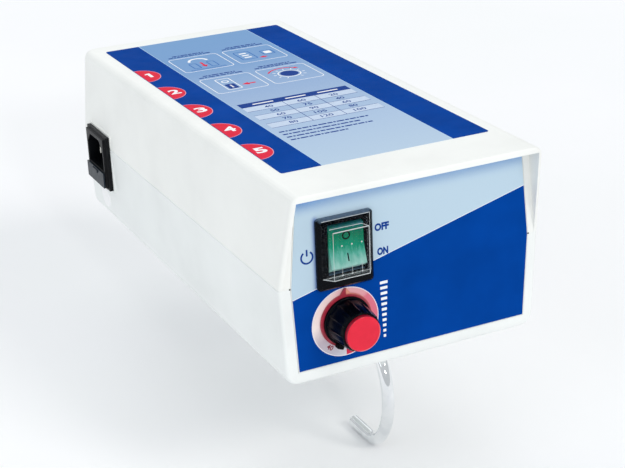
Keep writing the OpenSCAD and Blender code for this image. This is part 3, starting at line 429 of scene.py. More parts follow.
def pointer_plastic():
    """Dark red disc, with a painted highlight on the right half of its pointer."""
    f = moulded("pointer_red", "#A92A3E", 0.34, 0.2, 0.006)
    outer = half_width("pointer_disc")
    dx, _, radius = f.around(KNOB_AXIS)
    # Painted highlight: the pointer's right half is painted pale peach.
    lit = f.span(dx, -0.1 * MM, 0.3 * MM) * f.span(radius, outer - 0.5 * MM, outer + 0.3 * MM)
    mottle = f.ramp(f.noise(2), {0.3: "#9E2438", 0.7: "#B43046"})
    f.paint(f.mix(lit, mottle, "#E5957F"))
    return f


def all_finishes(scene):
    """One finish for every material slot of the record, and one for each ink and extra surface."""
    housing, labels, controls = scene.pump_housing, scene.pump_labels, scene.pump_controls
    made = {"label_blue": front_print(labels), "top_label": top_print(labels), "dial_film": dial_print(),
            "hook_chrome": polished_chrome(scene.pump_hook), "switch_black": switch_frame_plastic(),
            "rocker_green": rocker_plastic(), "pointer_red": pointer_plastic(), "cap_red": red_cap(),
            "filter_foam": open_foam()}
    for kind, table in {
            moulded: {
                "lower_housing": (housing.lower, 0.5), "upper_housing": (housing.upper, 0.46),
                "panel_plastic": (housing.panel, 0.5), "bearing_plastic": (housing.lower, 0.52),
                "sticker_white": ("#FEFEFE", 0.62, 0.12, 0.006, 0.005), "nozzle_plastic": ("#E3E4E2", 0.4),
                "bobbin_plastic": ("#E2DBC6", 0.45), "magnet_dark": ("#3E4044", 0.6, 0.4, 0.03, 0.2),
                "head_plastic": ("#C4C9CA", 0.5), "distributor_plastic": ("#DDE0E1", 0.42),
                "rotor_plastic": ("#8FB0C8", 0.42)},
            satin_metal: {
                "screw_steel": ("#A9ADB1", 0.32), "brass_contact": ("#C9A24A", 0.34),
                "valve_metal": ("#C3C6C9", 0.42), "spindle_brass": ("#BFA65A", 0.3), "pin_steel": ("#D8D6CF", 0.24),
                "nut_steel": ("#B4B7BA", 0.34), "frame_steel": ("#A7ABAF", 0.46), "motor_metal": ("#C1C4C7", 0.38)},
            soft_rubber: {
                "foot_rubber": ("#2A2A2C",), "mount_rubber": ("#303032",), "diaphragm_rubber": ("#262628",),
                "wire_brown": ("#7A4A2A", 0.55)},
            glossy: {
                "knob_black": ("#02040A", 0.18, 0.07, 0.2), "inlet_black": ("#0A0C10", 0.4, 0.16, 0.15),
                "drawer_face": ("#1B2530", 0.35, 0.2, 0.15)},
            see_through_film: {
                "cover_clear": ("#EEF4F6", controls.cover_face, controls.cover_edge),
                # The next film is whitish, for the painted highlights on the switch's clear cover.
                "cover_bead": ("#F2F7F8", 0.5, 0.85), "lamp_glass": ("#F3E3BE", 0.45, 0.9),
                "fuse_glass": ("#DCE4E8", 0.35, 0.85), "hose_clear": ("#DDE8EC", 0.55, 0.95, 0.25)},
            layered: {
                "core_steel": (2, 0.6, "#3A3C40", "#6B6E73", 0.06, 0.9, (5, 4.0), 0.4, 0.58),
                "winding_copper": (1, 0.45, "#6E3212", "#B8682E", 0.08, 0.85, (3, 3.0), 0.28, 0.42)},
            ink: {
                "white_ink": ("#FBFCFD",), "rim_ink": ("#F0A9B6",), "blue_ink": ("#17408F",),
                "red_ink": ("#E42C46",), "mid_ink": ("#3D74B9",), "pale_ink": ("#C9D8EC",),
                "dark_ink": ("#16181C",), "maroon_ink": ("#8E2A3A",)}}.items():
        for name, settings in table.items():
            made[name] = kind(name, *settings)
    return {name: f.material for name, f in made.items()}


FINISHES = {}


# ---- making pieces

def new_object(name, data):
    made = bpy.data.objects.new(name, data)
    bpy.context.scene.collection.objects.link(made)
    return made


def baked(obj, name):
    """The object with its modifiers made real: one plain mesh at the origin, no modifier left."""
    bpy.context.view_layer.update()
    depsgraph = bpy.context.evaluated_depsgraph_get()
    mesh = bpy.data.meshes.new_from_object(obj.evaluated_get(depsgraph), preserve_all_data_layers=True,
                                           depsgraph=depsgraph)
    bpy.data.objects.remove(obj)
    mesh.name = name
    return new_object(name, mesh)


def fitted(obj, body, slot, finish=None, replaces=(), angle=None):
    """Gives a piece its finish and its body, and hides the solids it stands for."""
    if angle:
        smooth(obj.data, angle)
    if finish is not None or not obj.data.materials:
        obj.data.materials.clear()
        obj.data.materials.append(finish or FINISHES[slot])
    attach(obj, body)
    if replaces:
        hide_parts(*replaces)
    return obj


def smooth(mesh, angle):
    mesh.shade_smooth()
    mesh.set_sharp_from_angle(angle=math.radians(angle))


def merged(node):
    """A copy of a solid's mesh with its loose triangles joined and its flat faces whole."""
    bm = bmesh.new()
    bm.from_mesh(frame["nodes"][node].data)
    bmesh.ops.remove_doubles(bm, verts=bm.verts, dist=2e-6)
    bmesh.ops.dissolve_limit(bm, angle_limit=math.radians(0.4), verts=bm.verts, edges=bm.edges,
                             use_dissolve_boundaries=False)
    return bm


def softened(name, node, width, segments=2, finish=None):
    """A solid with its edges rounded over, in the solid's place."""
    obj = from_bmesh(name, merged(node), None)
    bevel = obj.modifiers.new("Rounded edges", "BEVEL")
    bevel.width, bevel.segments = width, segments
    bevel.limit_method, bevel.angle_limit = "ANGLE", math.radians(32)
    bevel.use_clamp_overlap = True
    obj.data.shade_smooth()
    obj.modifiers.new("Flat faces stay flat", "WEIGHTED_NORMAL").weight = 100
    return fitted(baked(obj, name), BODY_OF[node], SLOT_OF[node], finish, replaces=(node,))


def from_bmesh(name, bm, angle=35):
    """A new object of the mesh; with an angle its doubles are joined and its edges smoothed up to it."""
    if angle:
        bmesh.ops.remove_doubles(bm, verts=bm.verts, dist=1e-6)
        bmesh.ops.recalc_face_normals(bm, faces=bm.faces)
    mesh = bpy.data.meshes.new(name)
    bm.to_mesh(mesh)
    bm.free()
    if angle:
        smooth(mesh, angle)
    return new_object(name, mesh)


def turned(profile, sides, place):
    """A closed solid of revolution about the local Z axis, from (radius, height) in millimetres."""
    bm = bmesh.new()
    rings = []
    for radius, height in profile:
        if radius < 1e-6:
            rings.append([bm.verts.new(place @ Vector((0, 0, height)))])
        else:
            rings.append([bm.verts.new(place @ Vector((radius * math.cos(a), radius * math.sin(a), height)))
                          for a in (TAU * i / sides for i in range(sides))])
    for low, high in zip(rings, rings[1:]):
        for i in range(sides):
            j = (i + 1) % sides
            corners = [low[i % len(low)], low[j % len(low)], high[j % len(high)], high[i % len(high)]]
            bm.faces.new(list(dict.fromkeys(corners)))
    return bm


def rounded_corner(radius, height, r, start, end, steps=5):
    """Profile points on a quarter round about (radius, height) from one angle to another, in degrees."""
    angles = (math.radians(start + (end - start) * i / steps) for i in range(steps + 1))
    return [(radius + r * math.cos(a), height + r * math.sin(a)) for a in angles]


def islands(node):
    """The lowest and highest corner of each separate solid in a node."""
    bm = merged(node)
    left, boxes = set(bm.verts), []
    while left:
        todo, group = [left.pop()], []
        while todo:
            v = todo.pop()
            group.append(v.co.copy())
            for e in v.link_edges:
                other = e.other_vert(v)
                if other in left:
                    left.discard(other)
                    todo.append(other)
        boxes.append((Vector([min(p[i] for p in group) for i in range(3)]),
                      Vector([max(p[i] for p in group) for i in range(3)])))
    bm.free()
    return sorted(boxes, key=lambda b: tuple(round(c, 5) for c in b[0]))


# ---- printed shapes

def face(origin, up=(0, 0, 1), across=(1, 0, 0)):
    """From a drawing in millimetres to the face at origin that it is printed on."""
    u, v = Vector(across).normalized(), Vector(up).normalized()
    return Matrix.Translation(origin) @ Matrix((u, v, u.cross(v))).transposed().to_4x4() @ IN_MM


def bow(cx, cy, rx, start, end, steps=16, ry=None):
    """Points on an arc from one angle to another, in degrees."""
    ry = rx if ry is None else ry
    angles = (math.radians(start + (end - start) * i / steps) for i in range(steps + 1))
    return [(cx + rx * math.cos(a), cy + ry * math.sin(a)) for a in angles]


def ring(cx, cy, r, steps):
    return bow(cx, cy, r, 0, 360, steps)[:-1]


def block(x0, y0, x1, y1, r=0.0):
    """A rectangle's outline, its corners rounded."""
    if r <= 0:
        return [(x0, y0), (x1, y0), (x1, y1), (x0, y1)]
    return (bow(x1 - r, y0 + r, r, -90, 0, 4) + bow(x1 - r, y1 - r, r, 0, 90, 4)
            + bow(x0 + r, y1 - r, r, 90, 180, 4) + bow(x0 + r, y0 + r, r, 180, 270, 4))


def stroke(points, width):
    """The outline of a line of even width through the points."""
    left, right = [], []
    for i, p in enumerate(points):
        before, after = points[max(i - 1, 0)], points[min(i + 1, len(points) - 1)]
        dx, dy = after[0] - before[0], after[1] - before[1]
        size = math.hypot(dx, dy)
        nx, ny = -dy / size * width / 2, dx / size * width / 2
        left.append((p[0] + nx, p[1] + ny))
        right.append((p[0] - nx, p[1] - ny))
    return right + left[::-1]


class Ink:
    """Flat shapes of one ink on one face, drawn about a point (x, y) and gathered into a thin closed mesh."""

    def __init__(self, plane, film=0.05):
        self.plane, self.film, self.bm = plane, film, bmesh.new()
        self.x = self.y = 0

    def shape(self, *loops):
        flat = [[Vector((self.x + x, self.y + y, 0)) for x, y in loop] for loop in loops]
        points = [p for loop in flat for p in loop]
        low = [self.bm.verts.new(self.plane @ p) for p in points]
        high = [self.bm.verts.new(self.plane @ (p + Vector((0, 0, self.film)))) for p in points]
        for t in tessellate_polygon(flat):
            self.bm.faces.new([high[i] for i in t])
            self.bm.faces.new([low[i] for i in reversed(t)])
        start = 0
        for loop in flat:
            for i in range(len(loop)):
                a, b = start + i, start + (i + 1) % len(loop)
                self.bm.faces.new((low[a], low[b], high[b], high[a]))
            start += len(loop)

    def outline(self, x0, y0, x1, y1, r, width):
        self.shape(block(x0, y0, x1, y1, r), block(x0 + width, y0 + width, x1 - width, y1 - width, r - width))

    def arrow(self, tail, tip, width):
        """A straight arrow with a solid head."""
        (x0, y0), (x1, y1) = tail, tip
        size = math.hypot(x1 - x0, y1 - y0)
        ux, uy = (x1 - x0) / size, (y1 - y0) / size

        def at(along, aside):
            return (x0 + ux * along - uy * aside, y0 + uy * along + ux * aside)
        neck = size - 2.6 * width
        self.shape([at(0, -width / 2), at(neck, -width / 2), at(neck, -1.5 * width), at(size, 0),
                    at(neck, 1.5 * width), at(neck, width / 2), at(0, width / 2)])

    def words(self, text, centre, height, width, turn=0.0, weight=0.0):
        """Plain letters or figures, scaled to a height and a width."""
        curve = bpy.data.curves.new("words", "FONT")
        curve.body, curve.offset, curve.extrude, curve.resolution_u = text, weight, 0.5, 3
        obj = new_object("words", curve)
        obj = baked(obj, "words_mesh")
        mesh = obj.data
        xs, ys = [v.co.x for v in mesh.vertices], [v.co.y for v in mesh.vertices]
        middle = Vector(((min(xs) + max(xs)) / 2, (min(ys) + max(ys)) / 2, -0.5))
        size = Vector((width / (max(xs) - min(xs)), height / (max(ys) - min(ys)), self.film))
        centre = Vector((self.x + centre[0], self.y + centre[1], 0))
        mesh.transform(self.plane @ Matrix.Translation(centre) @ Matrix.Rotation(math.radians(turn), 4, "Z")
                       @ Matrix.Diagonal((*size, 1)) @ Matrix.Translation(-middle))
        self.bm.from_mesh(mesh)
        bpy.data.objects.remove(obj)
        bpy.data.meshes.remove(mesh)

    def printed(self, name, finish, slot="label_blue", body="case"):
        fitted(from_bmesh(name, self.bm, 20), body, slot, FINISHES[finish])


# ---- shapes from node trees

class Tree(Nodes):
    """A Geometry Nodes tree with named inputs, run once on an object and baked."""

    KINDS = {float: "NodeSocketFloat", int: "NodeSocketInt", bpy.types.Material: "NodeSocketMaterial",
             bpy.types.Object: "NodeSocketObject"}

    def __init__(self, name, **inputs):
        self.tree = bpy.data.node_groups.new(name, "GeometryNodeTree")
        side = self.tree.interface
        for way in ("INPUT", "OUTPUT"):
            side.new_socket("Geometry", in_out=way, socket_type="NodeSocketGeometry")
        self.values = {side.new_socket(label, in_out="INPUT", socket_type=self.KINDS[type(value)]).identifier: value
                       for label, value in inputs.items()}
        self.source = {output.name: Wire(self.tree, output)
                       for output in self.tree.nodes.new("NodeGroupInput").outputs}

    def run(self, geometry, obj, name):
        """Ends the tree with real geometry of one material, and runs it on the object."""
        real = self.node("GeometryNodeRealizeInstances", {"Geometry": geometry})
        made = self.node("GeometryNodeSetMaterial", {"Geometry": real, "Material": self.source["Material"]})
        feed(self.tree, self.tree.nodes.new("NodeGroupOutput").inputs[0], made)
        modifier = obj.modifiers.new(self.tree.name, "NODES")
        modifier.node_group = self.tree
        for key, value in self.values.items():
            modifier[key] = value
        return baked(obj, name)


def set_out(node, name, slot, shape, base=2, spin_by=TAU):
    """Sets a finer shape at each like solid of a node, on its lower end, each turned by chance from a fixed seed."""
    solids = islands(node)
    places = []
    for lo, hi in solids:
        place = (lo + hi) / 2
        place[base] = lo[base]
        places.append(place)
    shape = shape(*((high - low) / MM for low, high in zip(*solids[0])))
    tree = Tree(name + "_layout", Shape=shape, Seed=3, Material=FINISHES[slot])
    source = tree.source
    one = tree.node("GeometryNodeObjectInfo", {"Object": source["Shape"]}, "Geometry")
    spin = tree.node("FunctionNodeRandomValue", {"Min": (0, 0, 0), "Max": (0, 0, spin_by), "Seed": source["Seed"]},
                     data_type="FLOAT_VECTOR")
    copies = tree.node("GeometryNodeInstanceOnPoints",
                       {"Points": source["Geometry"], "Instance": one, "Rotation": spin})
    mesh = bpy.data.meshes.new(name + "_places")
    mesh.from_pydata([tuple(p) for p in places], [], [])
    made = tree.run(copies, new_object(name + "_places", mesh), name)
    bpy.data.objects.remove(shape)
    return fitted(made, "case", slot, replaces=(node,), angle=40)


# ---- sizes and colours to change

def colour(name, text, about):
    return FloatVectorProperty(name=name, description=about, subtype="COLOR", size=3, min=0, max=1,
                               default=linear(text)[:3])


def length(name, value, about):
    return FloatProperty(name=name, description=about, default=value, min=0, unit="LENGTH", precision=5)


def share(name, value, about):
    return FloatProperty(name=name, description=about, default=value, min=0, max=1, subtype="FACTOR")


class HousingLook(bpy.types.PropertyGroup):
    upper: colour("Upper shell", "#F6F7F3", "Plastic of the upper shell")
    lower: colour("Lower shell", "#F2F5F3", "Plastic of the lower shell")
    panel: colour("Panels", "#F4F4F0", "Plastic of the front and rear panels")
    edge: length("Edge radius", 0.35 * MM, "Radius of the moulded shells' small edges")


class LabelLook(bpy.types.PropertyGroup):
    deep_blue: colour("Deep blue", "#044299", "Main ink of both labels")
    pale_blue: colour("Pale blue", "#BED4E3", "Light ink of the front label")
    # Painted shade: this blue, and the top and depth below, set the hood's shadow painted along the front label's
    # top.
    haze_blue: colour("Haze blue", "#6E9EDC", "Ink sprayed along the front label's top")
    gloss: share("Gloss", 0.005, "How much light the printed films throw back")
    split_left: length("Line at the left", 41.0 * MM, "Height of the white line at the label's left edge")
    split_right: length("Line at the right", 71.0 * MM, "Height of the white line at the label's right edge")
    line_width: length("Line width", 0.32 * MM, "Width of the white line")
    # Painted shade: where the hood's painted shadow is full, and how far down it runs.
    haze_top: length("Haze top", 86.0 * MM, "Height at which the sprayed haze is full")
    haze_depth: length("Haze depth", 9.0 * MM, "How far the haze runs down")
    band_half: length("Half band", 32.6 * MM, "Half the width of the top label's pale band")


class ControlLook(bpy.types.PropertyGroup):
    ridges: IntProperty(name="Ridges", description="Number of fine ridges round the knob", default=12, min=6, max=40)
    ridge_height: length("Ridge height", 0.35 * MM, "Height of the knob's ridges")
    cover_face: share("Cover, face on", 0.0, "How solid the clear cover looks face on")
    cover_edge: share("Cover, edge on", 0.6, "How solid the clear cover looks edge on")


class HookLook(bpy.types.PropertyGroup):
    sides: IntProperty(name="Sides", description="Sides of the rod's round section", default=32, min=12, max=64)
    polish: share("Polish", 0.06, "Roughness of the plating")


# ---- operators

class PUMP_OT_finishes(bpy.types.Operator):
    """Gives every solid the procedural finish of its slot"""
    bl_idname = "pump.finishes"
    bl_label = "Finishes"

    def execute(self, context):
        FINISHES.update(all_finishes(context.scene))
        for node, obj in frame["nodes"].items():
            obj.data.materials.clear()
            obj.data.materials.append(FINISHES[SLOT_OF[node]])
            smooth(obj.data, 30)
        return {"FINISHED"}


class PUMP_OT_housing(bpy.types.Operator):
    """Rounds the small edges of the lower shell and of the rear panel"""
    bl_idname = "pump.housing"
    bl_label = "Housing"

    def execute(self, context):
        softened("lower_shell_moulding", "lower_shell", context.scene.pump_housing.edge)
        softened("rear_panel_moulding", "rear_panel", 0.25 * MM)
        return {"FINISHED"}


class PUMP_OT_front_label(bpy.types.Operator):
    """Prints OFF and ON, the power sign, the pressure wedge and the seam's ends on the front"""
    bl_idname = "pump.front_label"
    bl_label = "Front label"

    def execute(self, context):
        lo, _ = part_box("front_label")
        switch = sum(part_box("switch_body"), Vector()) / 2
        seam = Ink(face((0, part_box("lower_shell")[0].y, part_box("upper_shell")[0].z)), 0.03)
        for side in (-1, 1):
            seam.shape(ring(side * 59.75, 0, 0.42, 14))
        seam.printed("seam_ends", "dark_ink", "lower_housing")
        beside = Ink(face((switch.x, lo.y, switch.z)))
        beside.words("OFF", (18.6, 6.6), 3.6, 7.0, weight=0.05)
        beside.words("ON", (18.8, -4.8), 3.6, 5.4, weight=0.05)
        sign_x = -17.4
        beside.shape(stroke(bow(sign_x, 0, 2.7, 125, 415, 28), 0.8))
        beside.shape(block(sign_x - 0.4, 0.6, sign_x + 0.4, 3.6))
        beside.printed("switch_signs", "blue_ink")
        wedge = Ink(face((KNOB_AXIS.x, lo.y, KNOB_AXIS.z)))
        wedge_x, low, high, bars = 19.3, -12.8, 12.9, 11
        for i in range(bars):
            z = low + (high - low) * i / (bars - 1)
            half = 0.6 + 1.3 * i / (bars - 1)
            wedge.shape(block(wedge_x - half, z - 0.65, wedge_x + half, z + 0.65, 0.2))
        wedge.printed("pressure_wedge", "white_ink")
        return {"FINISHED"}


class PUMP_OT_top_label(bpy.types.Operator):
    """Lays the top label: number tabs, plain diagrams of the steps, a table and rows of bars"""
    bl_idname = "pump.top_label"
    bl_label = "Top label"

    def execute(self, context):
        lo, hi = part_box("top_label")
        film = 0.22 * MM
        half_x, half_y = (hi.x - lo.x) / 2 / MM, (hi.y - lo.y) / 2 / MM
        centre = ((lo.x + hi.x) / 2, (lo.y + hi.y) / 2)
        base = Ink(face((*centre, lo.z), (0, 1, 0)), film / MM)
        base.shape(block(-half_x, -half_y, half_x, half_y, 1.2))
        fitted(from_bmesh("top_label_film", base.bm), "case", "label_blue", FINISHES["top_label"],
               replaces=("top_label",))
        plane = face((*centre, lo.z + film), (0, 1, 0))
        inks = {name: Ink(plane, depth) for name, depth in (
            ("pale_ink", 0.02), ("mid_ink", 0.025), ("rim_ink", 0.022), ("blue_ink", 0.035), ("red_ink", 0.03),
            ("white_ink", 0.05))}
        pale, mid, rim, blue, red, white = inks.values()

        def move(x, y):
            for sheet in inks.values():
                sheet.x, sheet.y = x, y
        rear, pitch = 57.2, 34.9
        for i in range(5):
            move(-half_x, rear - pitch * i)
            self.tab(rim, red, white, i + 1)
        left, right, front, back = -15.6, 15.6, 20.0, 64.0
        for x, y, draw in ((left, back, self.hoses), (right, back, self.plug), (left, front, self.rocker),
                           (right, front, self.dial)):
            move(x, y)
            white.outline(-14, -14, 14, 14, 2.5, 0.4)
            for k, width in enumerate((24, 18)):
                self.caption(blue, -width / 2, 16.4 + 2.5 * k, width)
            draw(white, mid, blue, red)
        move(0, 0)
        self.table(white, blue, pale)
        for name, sheet in inks.items():
            sheet.printed("top_label_" + name, name)
        return {"FINISHED"}

    def tab(self, rim, red, white, number):
        """A half-oval number tab on the left edge."""
        rim.shape(bow(0, 0, 10.0, -90, 90, 28, 11.6))
        red.shape(bow(0, 0, 9.65, -90, 90, 28, 11.25))
        if number > 1:
            white.words(str(number), (4.7, 0), 7.4, 5.6, weight=0.03)
        else:
            white.shape([(5.6, -3.7), (5.6, 3.7), (4.2, 3.7), (2.6, 2.6), (2.6, 1.2), (3.8, 1.9), (3.8, -3.7)])

    def caption(self, ink, x, y, width):
        """A row of short bars like the words of a line, from x to the right."""
        height, gap, end = 1.3, 0.55, x + width
        for word in (2.6, 1.2, 3.8, 2.0, 3.1, 1.0, 2.4, 4.2) * 3:
            if end - x > 0.5:
                ink.shape(block(x, y, min(x + word, end), y + height))
            x += word + gap

    def hoses(self, white, mid, _blue, red):
        """Two hose ends pushed on to two stems."""
        for s in (-1, 1):
            mid.outline(5 * s - 2.2, -9, 5 * s + 2.2, 1, 1, 0.6)
            white.shape(stroke(bow(0, 4, 5 * s + 0.01, 0, 90, 8, 5), 1.4))
        for y in (-11, -12.2):
            mid.shape(block(-10, y, 10, y + 0.4))
        red.arrow((0, 1), (0, -8), 1.2)

    def plug(self, white, mid, _blue, red):
        """A three-pin plug going into its inlet."""
        mid.outline(-10, -8, -1, 8, 1.5, 0.6)
        for y in (-4, 0, 4):
            white.shape(block(-7.5, y - 0.8, -3.5, y + 0.8))
        mid.outline(4, -4, 11, 4, 1, 0.6)
        white.shape(block(5.5, -2.2, 9.5, 2.2, 0.8))
        red.arrow((4, -7.5), (-0.5, -7.5), 1.2)

    def rocker(self, white, _mid, blue, red):
        """A rocker switch with its two ends, and an arrow to its lower one."""
        white.outline(-7, -10, 1, 10, 1.2, 0.5)
        blue.shape(block(-5.6, -8.6, -0.4, -0.4, 0.6))
        white.shape(ring(-3, 4.6, 2.0, 20), ring(-3, 4.6, 1.4, 20))
        white.shape(block(-3.4, -7, -2.6, -2.2))
        red.arrow((10, -4.6), (2.6, -4.6), 1.4)

    def dial(self, white, _mid, blue, red):
        """A dial with its ticks, and a curved arrow to the right."""
        white.shape(ring(0, 0, 6.2, 32), ring(0, 0, 5.6, 32))
        blue.shape(ring(0, 0, 4.8, 28))
        for k in range(11):
            a = math.radians(-60 + 30 * k)
            white.shape(stroke([(r * math.cos(a), r * math.sin(a)) for r in (7.2, 8.8)], 0.5))
        red.shape(stroke(bow(0, 0, 10.9, 150, 62, 14), 0.9))
        red.arrow((4.6, 9.9), (8.4, 7.0), 0.9)

    def table(self, white, blue, pale):
        """A table of settings in plain numbers, with a header, and bars for its words."""
        left, right, head, row, rows = -29.5, 29.5, -22.0, 7.0, 5
        columns, foot = (-17, 0.5, 18), head - row * rows
        blue.shape(block(left, head, right, head + 6.5))
        for x in columns:
            white.shape(block(x - 5.5, head + 2.6, x + 5.5, head + 3.9))
        for i in range(rows):
            y = head - row * (i + 1)
            if i % 2 == 0:
                pale.shape(block(left, y, right, y + row))
            blue.shape(block(left, y - 0.15, right, y + 0.15))
            for x, number in zip(columns, (40 + 10 * i, 60 + 15 * i, 20 * (i + 1))):
                digits = str(number)
                blue.words(digits, (x, y + row / 2), 3.2, 2.0 * len(digits) + 0.4, weight=0.012)
        for x in (-8.4, 9.2):
            blue.shape(block(x, foot, x + 0.3, head))
        for k, width in enumerate((46, 40, 44, 30)):
            self.caption(blue, left, foot - 8 - 4.2 * k, width)


class PUMP_OT_switch(bpy.types.Operator):
    """Rounds the switch frame, its rocker and clear cover, and marks the rocker with a ring and a bar"""
    bl_idname = "pump.switch"
    bl_label = "Power switch"

    def execute(self, context):
        softened("switch_frame", "switch_body", 0.35 * MM, 3)
        softened("switch_rocker_moulding", "switch_rocker", 0.3 * MM, 3)
        softened("switch_cover_moulding", "switch_cover", 0.3 * MM, 3)
        pivot = Vector(JOINTS["power_switch"]["pos_m"])
        tip = math.radians(JOINTS["power_switch"]["range_deg"][1])
        valley = Vector((pivot.x, pivot.y - 5.037 * MM, pivot.z + 0.798 * MM))
        upper = Ink(face(valley), 0.03)
        upper.shape(ring(0, 4.6, 1.95, 28), ring(0, 4.6, 1.3, 28))
        upper.printed("rocker_ring_mark", "dark_ink", "rocker_green", "rocker")
        lower = Ink(face(valley, (0, math.sin(tip), math.cos(tip))), 0.03)
        lower.shape(block(-0.3, -6.9, 0.3, -3.3))
        lower.printed("rocker_bar_mark", "dark_ink", "rocker_green", "rocker")
        self.cover_beads()
        return {"FINISHED"}

    def cover_beads(self):
        """Painted highlights on the clear cover: fine bright beads along its edges and across its top, and small
        bright dots and short lines at the ends of three ribs.
        """
        lo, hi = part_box("switch_cover")
        inset = 0.2 * MM

        def corner(right, up, depth):
            """A point on the cover's form, from 0 at the frame to 1 at its face."""
            side, drop = 2.9 * MM * depth, (4.0 if up else 0.5) * MM * depth
            return Vector((hi.x - side - inset if right else lo.x + side + inset,
                           hi.z - drop - inset if up else lo.z + drop + inset,
                           hi.y - inset + (lo.y - hi.y + 2 * inset) * depth)).xzy
        inner = corner(0, 1, 0.68), corner(1, 1, 0.7) - Vector((3.6 * MM, 0, 0))
        bm = bmesh.new()
        for a, b, thick in (
                (corner(0, 1, 1), corner(1, 1, 1), 0.42), (corner(0, 0, 1), corner(1, 0, 1), 0.34),
                (corner(0, 0, 1), corner(0, 1, 1), 0.2), (corner(1, 0, 1), corner(1, 1, 1), 0.26),
                (corner(0, 0, 0), corner(0, 0, 1), 0.34), (corner(1, 0, 0), corner(1, 0, 1), 0.26),
                (corner(0, 0, 0), corner(1, 0, 0), 0.2), (corner(0, 1, 0), corner(1, 1, 0), 0.26),
                (corner(1, 0, 0), corner(1, 1, 0), 0.2), (*inner, 0.26), (inner[1], corner(1, 1, 1), 0.22)):
            along = b - a
            place = Matrix.Translation((a + b) / 2) @ along.to_track_quat("Z", "Y").to_matrix().to_4x4()
            bmesh.ops.create_cone(bm, cap_ends=True, segments=8, radius1=thick * MM / 2, radius2=thick * MM / 2,
                                  depth=along.length, matrix=place)
        fitted(from_bmesh("cover_edge_beads", bm, 60), "case", "cover_clear", FINISHES["cover_bead"])
        # Painted glints: bright dots and short lines on the cover's face.
        glints = Ink(face(((lo.x + hi.x) / 2, lo.y + 0.03 * MM, lo.z + 0.5 * MM)), 0.03)
        for x in (-4.6, 0.1, 4.8):
            for y in (2.2, 15.6):
                glints.shape(ring(x, y, 0.36, 14))
            glints.shape(block(x - 0.08, 2.8, x + 0.08, 5.8))
        glints.printed("cover_pips", "cover_bead", "cover_clear")


class PUMP_OT_knob(bpy.types.Operator):
    """Makes the ridged knob, its red cap and the dark red pointer"""
    bl_idname = "pump.knob"
    bl_label = "Pressure knob"

    def execute(self, context):
        lo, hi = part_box("pressure_knob")
        foot_r, height = (hi.x - KNOB_AXIS.x) / MM, (hi.y - lo.y) / MM
        cap_lo, cap_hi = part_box("knob_cap")
        cap_r, cap_t = (cap_hi.x - cap_lo.x) / 2 / MM, (cap_hi.y - cap_lo.y) / MM
        foot_t, wall_r, tip_r, rim = 1.6, foot_r - 0.7, foot_r - 2.3, 0.4
        side = [(wall_r - (wall_r - tip_r - 0.6) * i / 12, foot_t + 0.5 + (height - foot_t - 2.5) * i / 12)
                for i in range(13)]
        well_r, well_t = 8.0, 3.9
        profile = ([(0, well_t), (well_r, well_t), (well_r, 0)]
                   + rounded_corner(foot_r - 0.3, 0.3, 0.3, -90, 0, 3)
                   + rounded_corner(foot_r - 0.5, foot_t - 0.5, 0.5, 0, 90, 4) + [(wall_r, foot_t)] + side
                   + rounded_corner(tip_r - 0.7, height - rim - 1.0, 1.0, 20, 90, 6)
                   + [(cap_r + 0.05, height - rim), (cap_r + 0.05, height - 1.4), (0, height - 1.4)])
        body = from_bmesh("knob_turning", turned(profile, 192, self.seat(hi.y)), 50)
        body = self.ridged(context.scene.pump_controls, body, hi.y, foot_t, height)
        fitted(body, "knob", "knob_black", replaces=("pressure_knob",), angle=50)
        self.nub(self.seat(hi.y), foot_r)
        cap_profile = ([(0, 0), (cap_r, 0)] + rounded_corner(cap_r - 0.8, cap_t - 0.95, 0.8, 0, 75, 6)
                       + [(cap_r - 1.6, cap_t - 0.12), (cap_r - 4, cap_t - 0.03), (0, cap_t)])
        fitted(from_bmesh("knob_cap_turning", turned(cap_profile, 96, self.seat(cap_hi.y)), 60),
               "knob", "cap_red", replaces=("knob_cap",))
        softened("pointer_moulding", "pointer_disc", 0.12 * MM)
        return {"FINISHED"}

    def seat(self, y):
        """From millimetres along Z to the knob's axis, forward from y."""
        return (Matrix.Translation((KNOB_AXIS.x, y, KNOB_AXIS.z)) @ Matrix.Rotation(math.radians(90), 4, "X")
                @ IN_MM)

    def ridged(self, look, body, foot_y, foot_t, height):
        """Sinks the knob's side between its foot and its front edge, apart from fine ridges."""
        tree = Tree("knob_ridges", Ridges=look.ridges, Height=look.ridge_height, Material=FINISHES["knob_black"])
        source = tree.source
        place = tree.node("GeometryNodeInputPosition", {})
        dx, dz, radius = tree.around(KNOB_AXIS, place)
        crest = (dz.math("ARCTAN2", dx) * source["Ridges"]).math("COSINE").math("MAXIMUM", 0.0)
        sunk = (crest ** 7.0 - 1.0) * source["Height"]
        rise = (tree.split(place)[1] - foot_y) / -MM
        start = tree.span(rise, foot_t + 0.1, foot_t + 0.7, smooth=True)
        end = tree.span(rise, height - 0.3, height - 1.6, smooth=True)
        well = 8.3 * MM
        pull = sunk * start * end * (radius > well) / radius
        offset = tree.node("ShaderNodeCombineXYZ", {"X": dx * pull, "Z": dz * pull})
        moved = tree.node("GeometryNodeSetPosition", {"Geometry": source["Geometry"], "Offset": offset})
        return tree.run(moved, body, "knob_body")

    def nub(self, place, foot_r):
        """A small rounded black block on the foot, at seven o'clock."""
        bm = bmesh.new()
        bmesh.ops.create_cube(bm, size=1)
        bmesh.ops.bevel(bm, geom=bm.edges[:], offset=0.18, segments=3, affect="EDGES", profile=0.6)
        turn = Matrix.Rotation(math.radians(157), 4, "Z")
        bmesh.ops.transform(bm, verts=bm.verts, matrix=place @ turn @ Matrix.Translation((0, foot_r, 1.6))
                            @ Matrix.Diagonal((3.2, 3.0, 3.2, 1)))
        fitted(from_bmesh("knob_nub", bm, 60), "knob", "knob_black")


